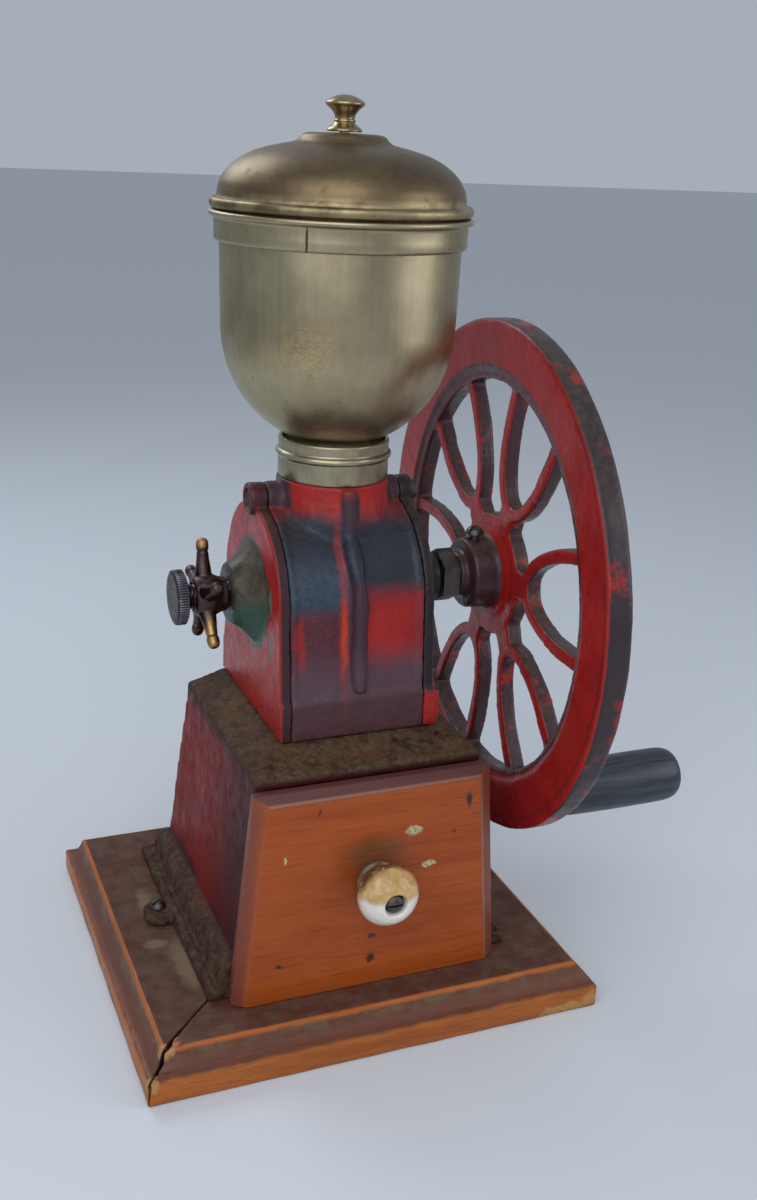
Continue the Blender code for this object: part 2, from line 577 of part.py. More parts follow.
def build_hopper():
    centre = (HOPPER_X, 0, 0)
    turned(
        "hopper_collar",
        [(NECK_RADIUS + 1.0, COLLAR_TOP), (COLLAR_RADIUS - 0.2, COLLAR_TOP), (COLLAR_RADIUS, 224.2),
         (22.8, 223.0), (22.8, 222.4), (COLLAR_RADIUS, 221.2), (COLLAR_RADIUS, COLLAR_LOW),
         (NECK_RADIUS + GAP, COLLAR_LOW), (NECK_RADIUS + GAP, 226.0)],
        centre, paint="brass", ring=True)
    outside = [(BOWL_RADIUS, BOWL_RIM)] + bowl_curve(0)
    outside += [(NECK_RADIUS + 0.1, COLLAR_TOP + 1.2), (NECK_RADIUS - 0.1, COLLAR_TOP)]
    outside += [(NECK_RADIUS - 0.1, NECK_TOP + 0.5)]
    inside = [(NECK_RADIUS - 1.3, NECK_TOP + 0.5), (NECK_RADIUS - 1.3, COLLAR_TOP + 1.2)]
    inside += list(reversed(bowl_curve(BRASS))) + [(BOWL_RADIUS - BRASS, BOWL_RIM)]
    turned("hopper_bowl", outside + inside, centre, paint="brass", steps=40, ring=True)

    bead = [
        (BEAD_RADIUS - 1.2 + 1.2 * math.cos(math.radians(a)),
         BOWL_RIM + 1.6 + 1.3 * math.sin(math.radians(a)))
        for a in (80, 30, -30, -80)]
    turned(
        "hopper_rim_band",
        [(46.0, BOWL_RIM + 2.9)] + bead + [(BAND_RADIUS, BOWL_RIM - 0.6), (BAND_RADIUS, BAND_LOW + 1.0),
                                           (46.0, BAND_LOW)],
        centre, paint="brass", steps=40, ring=True)

    dome = [(13.4, 340.2), (16.5, 337.9), (22.0, 336.7), (30.6, 335.0), (37.3, 332.0), (42.6, 328.0),
            (45.8, 322.8), (46.7, 317.9)]
    rim = [(BEAD_RADIUS - 0.7, 316.5), (BEAD_RADIUS - 0.7, 314.8), (BEAD_RADIUS - 1.6, 313.8)]
    skirt = [(44.2, 313.8), (44.0, 306.0), (43.1, 306.0), (43.3, 314.6)]
    under = [(45.2, 318.4), (44.4, 322.6), (41.6, 326.8), (36.4, 330.6), (30.2, 333.6), (21.5, 335.4),
             (15.6, 336.7), (11.4, 340.2), (2.2, 340.3)]
    turned(
        "hopper_lid", [(2.2, 341.6), (11.0, 341.4)] + dome + rim + skirt + under, centre,
        paint="brass", steps=36, ring=True)
    turned(
        "lid_knob",
        [(0, 353.7), (2.8, 353.3), (6.4, 352.0), (7.1, 351.3), (6.8, 350.4), (4.6, 348.4), (3.9, 346.8),
         (4.6, 344.6), (6.1, 343.4), (6.1, 341.9), (1.9, 341.9), (1.9, 335.0), (0, 335.0)],
        centre, paint="brass", steps=24)
    nut = rod("lid_knob_nut", 4.4, 337.4, 340.0, (HOPPER_X, 0), "Z", "brass", 6)
    cut(nut, rod("lid_nut_hole", 2.2, 335, 342, (HOPPER_X, 0), "Z", sides=20))


# ---------------------------------------------------------------- flywheel
def tulip(turn):
    """The band of one pair of arms: a half ellipse round the fork, open towards the rim."""
    def side(half, length, reverse):
        middle = (RIM_INNER + RIM_OUTER) / 2 - 8
        angles = [90 + 180 * i / 14 for i in range(15)]
        if reverse:
            angles.reverse()
        return [(RIM_INNER + length * math.cos(math.radians(a)), half * math.sin(math.radians(a)))
                if 90 < a < 270 else (middle, half * math.sin(math.radians(a))) for a in angles]
    length = RIM_INNER - TULIP_START
    outline = side(TULIP_HALF + ARM_WIDTH / 2, length + ARM_WIDTH / 2, False)
    outline += side(TULIP_HALF - ARM_WIDTH / 2, length - ARM_WIDTH / 2, True)
    angle = math.radians(turn)
    return [(-(u * math.cos(angle) - v * math.sin(angle)), u * math.sin(angle) + v * math.cos(angle))
            for u, v in outline]


def build_wheel():
    axle = (0, 0, AXLE_Z)
    profile = [
        (RIM_OUTER - 1.6, RIM_RIGHT), (RIM_OUTER, RIM_RIGHT - 1.6),
        (RIM_OUTER, RIM_LEFT + 1.6), (RIM_OUTER - 1.6, RIM_LEFT),
        (RIM_INNER + 4.2, RIM_LEFT), (RIM_INNER + 4.0, RIM_LEFT + 1.4), (RIM_INNER, RIM_LEFT + 1.4),
        (RIM_INNER, RIM_RIGHT - 1.4), (RIM_INNER + 4.0, RIM_RIGHT - 1.4), (RIM_INNER + 4.2, RIM_RIGHT)]
    wheel = turned("flywheel", profile, axle, "X", "iron_red", steps=52, ring=True)
    for number in range(ARM_PAIRS):
        turn = ARM_TURN + number * 360 / ARM_PAIRS
        join(wheel, plate("arms", [tulip(turn)], WEB_LEFT, WEB_RIGHT, at=axle))
    hub = turned(
        "hub",
        [(0, WEB_RIGHT + 0.3), (HUB_DISC, WEB_RIGHT + 0.3),
         (HUB_DISC, WEB_LEFT - 0.2), (16.5, WEB_LEFT - 0.2),
         (14.0, WEB_LEFT - 1.6), (14.0, 62.6), (13.4, 62.0), (9.5, 62.0), (9.5, 58.2), (0, 58.2)],
        axle, "X", steps=28)
    join(wheel, hub)
    for number in range(ARM_PAIRS):
        turn = ARM_TURN + number * 360 / ARM_PAIRS
        stub = block("stub", (WEB_LEFT - 0.1, -TULIP_START - 0.5, -6.2), (WEB_RIGHT + 0.1, -20, 6.2))
        stub.matrix_world = (
            Matrix.Translation(Vector(axle) * MM)
            @ Matrix.Rotation(math.radians(-turn), 4, "X")
            @ stub.matrix_world)
        join(wheel, stub)
    grip_at = on_wheel(GRIP_CIRCLE, GRIP_ANGLE)
    cut(wheel,
        rod("hub_bore", SHAFT_BORE, 57, RIM_RIGHT + 2, (0, AXLE_Z)),
        rod("set_screw_hole", 2.4, AXLE_Z, AXLE_Z + 16, (67.5, 0), "Z", sides=16),
        rod("spindle_hole", SPINDLE_RADIUS + GAP, RIM_LEFT - 1, RIM_RIGHT + 1, grip_at, sides=20))

    slotted_screw(
        "hub_set_screw", (67.5, 0, AXLE_Z + 17.2), "Z", head=4.0, shank=2.1, length=11.7, paint="dark_steel")
    nut = rod("hub_lock_nut", 11.7, 49.8, 57.0, (0, AXLE_Z), paint="steel", sides=6)
    cut(nut, rod("lock_nut_bore", SHAFT_BORE, 48, 59, (0, AXLE_Z)))


def build_grip():
    y, z = on_wheel(GRIP_CIRCLE, GRIP_ANGLE)
    turned(
        "handle_spindle",
        [(0, GRIP_END + 1.9), (3.6, GRIP_END + 1.7), (4.7, GRIP_END + 1.0), (4.7, GRIP_END + 0.4),
         (SPINDLE_RADIUS, GRIP_END + 0.4), (SPINDLE_RADIUS, RIM_LEFT + 0.4), (0, RIM_LEFT + 0.4)],
        (0, y, z), "X", "dark_steel", steps=20)
    bore = SPINDLE_RADIUS + GAP
    turned(
        "handle_grip",
        [(bore, GRIP_END), (7.6, GRIP_END), (10.0, GRIP_END - 0.9), (GRIP_RADIUS - 0.3, GRIP_END - 3.4),
         (GRIP_RADIUS, GRIP_END - 7), (GRIP_RADIUS, GRIP_START + 20), (10.9, GRIP_START + 4),
         (9.0, GRIP_START), (bore, GRIP_START)],
        (0, y, z), "X", "grip_black", steps=26, ring=True)


for old in list(bpy.data.objects):
    bpy.data.objects.remove(old, do_unlink=True)
MODEL = collection("coffee_mill")
CUTTERS = collection("cutters")
build_base()
build_box()
build_drawer()
build_housing()
build_covers()
build_gear()
build_adjuster()
build_hopper()
build_wheel()
build_grip()
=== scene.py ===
"""Looks of the flywheel coffee mill. Lengths are millimetres in the row frame; MM makes them metres."""
import math

import bmesh
import bpy
import numpy as np
from mathutils import Euler, Matrix, Vector, noise


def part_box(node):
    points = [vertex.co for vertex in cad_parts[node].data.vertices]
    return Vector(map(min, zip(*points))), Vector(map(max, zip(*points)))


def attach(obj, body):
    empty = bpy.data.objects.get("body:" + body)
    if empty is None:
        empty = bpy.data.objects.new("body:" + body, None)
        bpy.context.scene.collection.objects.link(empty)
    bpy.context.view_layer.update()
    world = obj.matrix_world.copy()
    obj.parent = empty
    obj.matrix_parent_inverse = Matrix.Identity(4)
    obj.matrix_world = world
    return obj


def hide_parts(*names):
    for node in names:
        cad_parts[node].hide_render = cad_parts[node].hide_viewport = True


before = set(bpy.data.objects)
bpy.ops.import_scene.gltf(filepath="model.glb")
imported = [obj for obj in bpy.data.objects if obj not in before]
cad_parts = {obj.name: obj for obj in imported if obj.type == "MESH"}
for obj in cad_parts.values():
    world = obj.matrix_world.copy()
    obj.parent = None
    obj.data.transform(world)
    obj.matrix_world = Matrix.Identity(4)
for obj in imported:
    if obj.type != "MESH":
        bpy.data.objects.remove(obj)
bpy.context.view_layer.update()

MM = 0.001
X, Y, Z = range(3)


def span(node, axis):
    """Where a CAD node's box starts and ends along an axis."""
    return tuple(round(corner[axis] / MM, 3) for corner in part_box(node))


def middle(node):
    return tuple(sum(span(node, axis)) / 2 for axis in (X, Y, Z))


# ---------------------------------------------------------------- places taken from the CAD
AXLE_Z = middle("main_shaft")[Z]
ON_AXLE = (0, 0, AXLE_Z)
HOPPER_X = middle("hopper_bowl")[X]
UNDER_HOPPER = (HOPPER_X, 0, 0)
AT_EARS = (0, 0, middle("left_cover_bolt")[Z])
KNOB_X, _, KNOB_Z = middle("drawer_knob")
LUGS = [middle("base_screw_left")[:2], middle("base_screw_right")[:2]]
HOLD_DOWNS = [(*middle("housing_screw_" + side)[:2], 0) for side in ("front", "back")]
SET_SCREW_X = middle("hub_set_screw")[X]
GRIP_Y, GRIP_Z = middle("handle_grip")[1:]
BASE_X = span("base_rail_right", X)[1]
BASE_Y = span("base_rail_back", Y)[1]
BASE_TOP = span("base_rail_front", Z)[1]
RAIL_WIDTH = BASE_X - span("base_rail_right", X)[0]
BOX_BOTTOM, SHOULDER_TOP = span("box_casting", Z)
BOX_TOP = 112.0
HOUSING_START, HOUSING_END = span("grinder_housing", X)
RIB_X = 1.2


# ---------------------------------------------------------------- camera, floor and light
def build_studio():
    azimuth, elevation, roll = math.radians(-23.09), math.radians(19.56), math.radians(2.77)
    back = Vector((math.sin(azimuth) * math.cos(elevation), -math.cos(azimuth) * math.cos(elevation),
                   math.sin(elevation)))
    right = (-back).cross(Vector((0, 0, 1))).normalized()
    up = right.cross(-back)
    tilted_right = right * math.cos(roll) + up * math.sin(roll)
    tilted_up = up * math.cos(roll) - right * math.sin(roll)
    lens = bpy.data.cameras.new("camera")
    lens.lens = 39.54
    lens.clip_start = 0.01
    camera = linked("camera", lens)
    turn = Matrix((tilted_right, tilted_up, back)).transposed().to_4x4()
    camera.matrix_world = Matrix.Translation((-0.17962, -0.47912, 0.34254)) @ turn
    bpy.context.scene.camera = camera
    bpy.context.scene.view_settings.view_transform = "Standard"

    far = 9000
    corners = [(-far, -far, 0), (far, -far, 0), (far, far, 0), (-far, far, 0)]
    floor = to_object("floor", corners, [(0, 1, 2, 3)])
    paint = bpy.data.materials.new("floor")
    paint.use_nodes = True
    shader = paint.node_tree.nodes["Principled BSDF"]
    shader.inputs["Base Color"].default_value = (0.62, 0.65, 0.68, 1)
    shader.inputs["Roughness"].default_value = 0.75
    floor.data.materials.append(paint)

    world = bpy.data.worlds.new("studio")
    bpy.context.scene.world = world
    world.use_nodes = True
    background = world.node_tree.nodes["Background"]
    background.inputs["Color"].default_value = (0.80, 0.88, 1.0, 1)
    background.inputs["Strength"].default_value = 0.48
    area_light("key", (-380, -620, 700), (0, 0, 170), 950, 5.4, (0.96, 0.98, 1.0))
    area_light("back", (-260, 640, 760), (0, 0, 170), 420, 2.2, (0.86, 0.93, 1.0))
    area_light("fill", (640, -420, 420), (0, 0, 150), 520, 1.6, (0.92, 0.96, 1.0))


def area_light(name, at, towards, size, power, colour):
    lamp = bpy.data.lights.new(name, "AREA")
    lamp.size = size * MM
    lamp.energy = power
    lamp.color = colour
    made = linked(name, lamp)
    aim = (Vector(towards) - Vector(at)).to_track_quat("-Z", "Y").to_matrix().to_4x4()
    made.matrix_world = Matrix.Translation(Vector(at) * MM) @ aim


# ---------------------------------------------------------------- shapes
def linked(name, data):
    made = bpy.data.objects.new(name, data)
    bpy.context.scene.collection.objects.link(made)
    return made


def to_object(name, points, faces):
    data = bpy.data.meshes.new(name)
    data.from_pydata([tuple(c * MM for c in p) for p in points], [], faces)
    shape = bmesh.new()
    shape.from_mesh(data)
    bmesh.ops.recalc_face_normals(shape, faces=shape.faces)
    shape.to_mesh(data)
    shape.free()
    return linked(name, data)


def bake(made):
    """Applies the modifiers and the placement, so that the mesh lies in the row frame."""
    graph = bpy.context.evaluated_depsgraph_get()
    data = bpy.data.meshes.new_from_object(made.evaluated_get(graph))
    data.transform(made.matrix_world)
    old = made.data
    made.modifiers.clear()
    made.data = data
    made.matrix_world = Matrix.Identity(4)
    bpy.data.meshes.remove(old)
    return made


def run(*points, per=6):
    """A smooth curve through the points, which starts and ends on its first and last ones."""
    pts = [np.array(p, float) for p in points]
    ends = [2 * pts[0] - pts[1]] + pts + [2 * pts[-1] - pts[-2]]
    out = []
    for a, b, c, d in zip(ends, ends[1:], ends[2:], ends[3:]):
        for i in range(per):
            t = i / per
            out.append(tuple(0.5 * (2 * b + (c - a) * t + (2 * a - 5 * b + 4 * c - d) * t * t
                                    + (3 * b - a - 3 * c + d) * t ** 3)))
    return out + [tuple(pts[-1])]


def arc(radius, first, last, count, centre=(0, 0)):
    turn = [math.radians(first + (last - first) * i / count) for i in range(count + 1)]
    return [(centre[0] + radius * math.cos(a), centre[1] + radius * math.sin(a)) for a in turn]


def spot(u, v, h, at, along):
    """The place of a point (u, v) of an outline that is h along its axis from at."""
    x, y, z = at
    if along == "X":
        return (x + h, y + u, z + v)
    if along == "-Y":
        return (x + u, y - h, z + v)
    return (x + u, y + v, z + h)


def lathe(name, profile, at, along="Z", steps=128, ring=False, shape=None):
    """A turned shape. profile holds (radius, height); shape(radius, angle, height) may change a radius."""
    points, rows = [], []
    for radius, height in profile:
        if radius < 1e-6:
            points.append(spot(0, 0, height, at, along))
            rows.append([len(points) - 1] * steps)
            continue
        row = []
        for i in range(steps):
            angle = 2 * math.pi * i / steps
            r = shape(radius, angle, height) if shape else radius
            row.append(len(points))
            points.append(spot(r * math.cos(angle), r * math.sin(angle), height, at, along))
        rows.append(row)
    pairs = list(zip(rows, rows[1:]))
    if ring:
        pairs.append((rows[-1], rows[0]))
    faces = []
    for low, high in pairs:
        for i in range(steps):
            j = (i + 1) % steps
            corners = [low[i], low[j], high[j], high[i]]
            unique = [c for k, c in enumerate(corners) if c not in corners[:k]]
            if len(unique) > 2:
                faces.append(unique)
    if not ring:
        faces += [row for row in (rows[0], rows[-1]) if len(set(row)) > 2]
    return to_object(name, points, faces)


def rod(name, radius, start, end, at, along="Z", steps=48):
    return lathe(name, [(0, start), (radius, start), (radius, end), (0, end)], at, along, steps)


def prism(name, outline, start, end, at=(0, 0, 0), along="X"):
    count = len(outline)
    points = [spot(u, v, h, at, along) for h in (start, end) for u, v in outline]
    faces = [tuple(range(count)), tuple(range(count, 2 * count))]
    faces += [(i, (i + 1) % count, count + (i + 1) % count, count + i) for i in range(count)]
    return to_object(name, points, faces)


def loft(name, rings):
    """Skins closed rings of equal length and caps both ends."""
    count = len(rings[0])
    points = [p for ring in rings for p in ring]
    faces = []
    for k in range(len(rings) - 1):
        for i in range(count):
            j = (i + 1) % count
            faces.append((k * count + i, k * count + j, (k + 1) * count + j, (k + 1) * count + i))
    faces += [tuple(range(count)), tuple(range(len(points) - count, len(points)))]
    return to_object(name, points, faces)


def block(name, low, high):
    outline = [(low[0], low[1]), (high[0], low[1]), (high[0], high[1]), (low[0], high[1])]
    return prism(name, outline, low[2], high[2], along="Z")


def turned_about_axle(made, degrees):
    hub = Matrix.Translation(Vector(ON_AXLE) * MM)
    made.data.transform(hub @ Matrix.Rotation(math.radians(degrees), 4, "X") @ hub.inverted())
    return made


def merge(name, *parts):
    """Puts several closed shapes in one mesh. cast_iron() then melts them together."""
    shape = bmesh.new()
    for part in parts:
        shape.from_mesh(part.data)
        bpy.data.objects.remove(part)
    data = bpy.data.meshes.new(name)
    shape.to_mesh(data)
    shape.free()
    return linked(name, data)


def cut(target, *tools):
    """Takes the tools out of the target. Both may be several shapes that overlap."""
    away = merge("tools", *tools)
    change = target.modifiers.new("cut", "BOOLEAN")
    change.operation = "DIFFERENCE"
    change.solver = "EXACT"
    change.use_self = True
    change.object = away
    bake(target)
    bpy.data.objects.remove(away)


def soften(made, passes, share):
    """Extra smoothing where share, from a place in millimetres, is above 0."""
    group = made.vertex_groups.new(name="soft")
    for vertex in made.data.vertices:
        weight = share(vertex.co / MM)
        if weight > 0:
            group.add([vertex.index], weight, "REPLACE")
    soft = made.modifiers.new("soft", "SMOOTH")
    soft.vertex_group = "soft"
    soft.iterations = passes
    bake(made)


def roughen(made, waves):
    """Moves the skin along its normals by noise. Each wave is (size, depth) in millimetres."""
    data = made.data
    at = np.empty(len(data.vertices) * 3)
    out = np.empty(len(data.vertices) * 3)
    data.vertices.foreach_get("co", at)
    data.vertices.foreach_get("normal", out)
    at, out = at.reshape(-1, 3) / MM, out.reshape(-1, 3)
    push = [sum(depth * noise.noise(Vector(point / size)) for size, depth in waves) for point in at]
    at += out * np.array(push)[:, None]
    data.vertices.foreach_set("co", (at * MM).ravel())


def bevelled(made, width, segments):
    bevel = made.modifiers.new("edges", "BEVEL")
    bevel.width = width * MM
    bevel.segments = segments
    bevel.angle_limit = math.radians(30)
    bevel.limit_method = "ANGLE"
    bake(made)


def finish(made, body, paint, slot, *nodes, sharp=40):
    made.data.materials.clear()
    made.data.materials.append(paint)
    made.data.shade_smooth()
    made.data.set_sharp_from_angle(angle=math.radians(sharp))
    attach(made, body)
    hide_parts(*nodes)


def cast_iron(made, voxel, passes, waves, body, paint, slot, node, share=None):
    """One skin with soft edges and fillets, smoother where share says so, and roughened by waves."""
    remesh = made.modifiers.new("skin", "REMESH")
    remesh.mode = "VOXEL"
    remesh.voxel_size = voxel * MM
    soft = made.modifiers.new("soft", "SMOOTH")
    soft.iterations = passes
    bake(made)
    if share:
        soften(made, 30, share)
    roughen(made, waves)
    finish(made, body, paint, slot, node, sharp=180)


# ---------------------------------------------------------------- materials
class Paint:
    """A node material. Sizes in its calls are millimetres on the object."""

    def __init__(self, name, roughness=0.5, metallic=0.0, coat=0.0, coat_roughness=0.03, shine=0.3):
        self.material = bpy.data.materials.new(name)
        self.material.use_nodes = True
        self.tree = self.material.node_tree
        self.shader = self.tree.nodes["Principled BSDF"]
        self.shader.inputs["Roughness"].default_value = roughness
        self.shader.inputs["Metallic"].default_value = metallic
        self.shader.inputs["Coat Weight"].default_value = coat
        self.shader.inputs["Coat Roughness"].default_value = coat_roughness
        self.shader.inputs["Specular IOR Level"].default_value = shine
        where = self.node("ShaderNodeTexCoord")
        self.mm = self.vector("SCALE", where.outputs["Object"], 1 / MM)
        self.x, self.y, self.z = self.split(self.mm)
        self.normal_x, _, self.normal_z = self.split(where.outputs["Normal"])

    def node(self, kind, inputs=None, **settings):
        made = self.tree.nodes.new(kind)
        for key, value in settings.items():
            setattr(made, key, value)
        for socket, value in (inputs or {}).items():
            self.feed(made.inputs[socket], value)
        return made

    def feed(self, socket, value):
        if isinstance(value, bpy.types.NodeSocket):
            self.tree.links.new(value, socket)
        else:
            socket.default_value = value

    def math(self, operation, a, b=0.0, clamp=False):
        return self.node("ShaderNodeMath", {0: a, 1: b}, operation=operation, use_clamp=clamp).outputs[0]

    def vector(self, operation, a, b=(0, 0, 0)):
        second = "Scale" if operation == "SCALE" else 1
        made = self.node("ShaderNodeVectorMath", {0: a, second: b}, operation=operation)
        return made.outputs["Value" if operation == "LENGTH" else "Vector"]

    def split(self, vector):
        return self.node("ShaderNodeSeparateXYZ", {0: vector}).outputs

    def chain(self, operation, values):
        total = values[0]
        for value in values[1:]:
            total = self.math(operation, total, value)
        return total

    def add(self, *values):
        return self.chain("ADD", values)

    def mul(self, *values):
        return self.chain("MULTIPLY", values)

    def most(self, *values):
        return self.chain("MAXIMUM", values)

    def invert(self, a):
        return self.math("SUBTRACT", 1.0, a, True)

    def away(self, value, centre=0.0):
        """How far the value is from the centre, on either side."""
        return self.math("ABSOLUTE", self.math("SUBTRACT", value, centre))

    def stretch(self, *scales):
        return self.vector("MULTIPLY", self.mm, scales)

    def noise(self, size, detail=4.0, rough=0.55, source=None):
        inputs = {"Vector": source or self.mm, "Scale": 1.0 / size, "Detail": detail, "Roughness": rough}
        return self.node("ShaderNodeTexNoise", inputs).outputs["Fac"]

    def patches(self, size, low, high, detail=4.0, rough=0.55, source=None):
        """0 where the noise is below low, 1 where it is above high."""
        return self.level(self.noise(size, detail, rough, source), low, high)

    def level(self, value, low, high, out_low=0.0, out_high=1.0):
        """A soft step: out_low up to low, out_high from high on. low may be the larger one."""
        start, end = (out_low, out_high) if low < high else (out_high, out_low)
        inputs = {"Value": value, "From Min": min(low, high), "From Max": max(low, high),
                  "To Min": start, "To Max": end}
        return self.node("ShaderNodeMapRange", inputs, interpolation_type="SMOOTHSTEP").outputs["Result"]

    def warped(self, size, reach):
        """The place, pushed about by noise."""
        cloud = self.node("ShaderNodeTexNoise", {"Vector": self.mm, "Scale": 1.0 / size, "Detail": 4.0})
        centred = self.vector("SUBTRACT", cloud.outputs["Color"], (0.5, 0.5, 0.5))
        return self.vector("ADD", self.mm, self.vector("SCALE", centred, reach))

    def blob(self, centre, radii, soft=0.4, source=None):
        """1 inside an ellipsoid, 0 outside."""
        away = self.vector("SUBTRACT", source or self.mm, centre)
        length = self.vector("LENGTH", self.vector("DIVIDE", away, radii))
        return self.level(length, 1 + soft, 1 - soft)

    def blobs(self, spots, soft=0.4, source=None):
        return self.most(*[self.blob(centre, radii, soft, source) for centre, radii in spots])

    def blend(self, share, a, b):
        a, b = ((*colour, 1) if isinstance(colour, tuple) else colour for colour in (a, b))
        return self.node("ShaderNodeMix", {"Factor": share, 6: a, 7: b}, data_type="RGBA").outputs[2]

    def over(self, tone, colour, share, strength=1.0):
        """The tone with a colour laid over it where share is above 0."""
        return self.blend(self.mul(share, strength), tone, colour)

    def shades(self, value, low, high):
        """Runs from one colour to another. low and high are (value, colour)."""
        made = self.node("ShaderNodeValToRGB", {"Fac": value})
        for element, (place, colour) in zip(made.color_ramp.elements, (low, high)):
            element.position = place
            element.color = (*colour, 1)
        return made.outputs["Color"]

    def edges(self, low, high):
        """1 on sharp outer edges. Needs a dense mesh."""
        return self.level(self.node("ShaderNodeNewGeometry").outputs["Pointiness"], low, high)

    def colour(self, value):
        self.feed(self.shader.inputs["Base Color"], value)

    def rough(self, value):
        self.feed(self.shader.inputs["Roughness"], value)

    def bump(self, *heights):
        """heights are (height 0 to 1, depth in mm)."""
        total = self.add(*[self.mul(value, depth) for value, depth in heights])
        made = self.node("ShaderNodeBump", {"Distance": MM, "Strength": 1.0, "Height": total})
        self.feed(self.shader.inputs["Normal"], made.outputs["Normal"])
        return self.material


# ---------------------------------------------------------------- finishes
ENAMEL_BLACK = (0.016, 0.013, 0.016)


def dim(colour, share):
    return tuple(c * share for c in colour)


def wood(name, light, dark, along, roughness, coat):
    """Varnished wood whose grain runs along the given axis."""
    paint = Paint(name, coat=coat, coat_roughness=0.25)
    warped = paint.warped(30, 3.0)
    grain_space = paint.vector("MULTIPLY", warped, [0.09 if axis == along else 1 for axis in "XYZ"])
    pore_space = paint.stretch(*[0.045 if axis == along else 1 for axis in "XYZ"])
    broad = paint.noise(9, 3, 0.5, grain_space)
    fine = paint.noise(1.1, 3, 0.6, grain_space)
    paint.grain = paint.add(paint.mul(broad, 0.65), paint.mul(fine, 0.35))
    paint.pores = paint.patches(0.7, 0.60, 0.72, 2, 0.5, pore_space)
    tone = paint.shades(paint.grain, (0.30, dark), (0.70, light))
    paint.tone = paint.over(tone, dim(dark, 0.35), paint.pores, 0.35)
    paint.rough(paint.level(paint.noise(14), 0.3, 0.7, roughness - 0.08, roughness + 0.12))
    return paint


def finish_drawer_face():
    def on_face(*marks):
        """Spots on the face, from (x, z, half width, half height)."""
        return [((x, -68, z), (across, 3, up)) for x, z, across, up in marks]

    paint = wood("drawer_face", (0.40, 0.084, 0.010), (0.27, 0.043, 0.005), "X", 0.42, 0.05)
    torn = paint.warped(2.5, 3.5)
    side_face_reflection = paint.level(paint.away(paint.normal_x), 0.25, 0.5)
    above = paint.level(paint.normal_z, 0.25, 0.5)
    lip = paint.mul(paint.level(paint.y, -67.45, -67.2), paint.level(paint.y, -66.2, -66.9))
    pale = on_face((15.7, 86.2, 3.4, 1.9), (23, 70, 3.0, 1.5), (-37, 82, 0.7, 1.6))
    marks = paint.mul(paint.blobs(pale, 0.3, torn), paint.patches(1.3, 0.36, 0.50, 4, 0.7))
    burnt = on_face((0, 41.5, 1.6, 1.3), (-0.3, 31.5, 1.6, 2.2), (-38.8, 35.3, 1.3, 0.7),
                    (-24, 100, 0.6, 1.6), (33, 83, 0.6, 0.7), (39, 96, 1.2, 3.2))
    smudge = paint.blob((-1, -68, 79), (12, 9, 7), 0.5, torn)
    shadow = paint.blob((KNOB_X, -68, 70), (19, 9, 15), 0.6, paint.warped(5, 2.0))
    # Painted reflection: the side faces are tinted a darker pinkish brown, as the sky's reflection shows on
    # them.
    tone = paint.over(paint.tone, (0.145, 0.042, 0.032), side_face_reflection, 0.75)
    tone = paint.over(tone, (0.070, 0.030, 0.030), above, 0.90)
    # Painted highlight: a light line along the lip, where the face meets its side and top bevels.
    tone = paint.over(tone, (0.36, 0.16, 0.10), paint.mul(lip, paint.most(side_face_reflection, above)), 0.6)
    tone = paint.over(tone, (0.20, 0.045, 0.010), shadow, 0.35)
    tone = paint.over(tone, (0.22, 0.05, 0.012), paint.patches(3.5, 0.60, 0.74, 5, 0.65), 0.35)
    tone = paint.over(tone, (0.13, 0.060, 0.025), smudge, 0.6)
    tone = paint.over(tone, (0.50, 0.44, 0.24), marks)
    paint.colour(paint.over(tone, (0.05, 0.02, 0.012), paint.blobs(burnt, 0.5, torn)))
    return paint.bump((paint.grain, 0.10), (paint.pores, -0.06), (marks, 0.12))


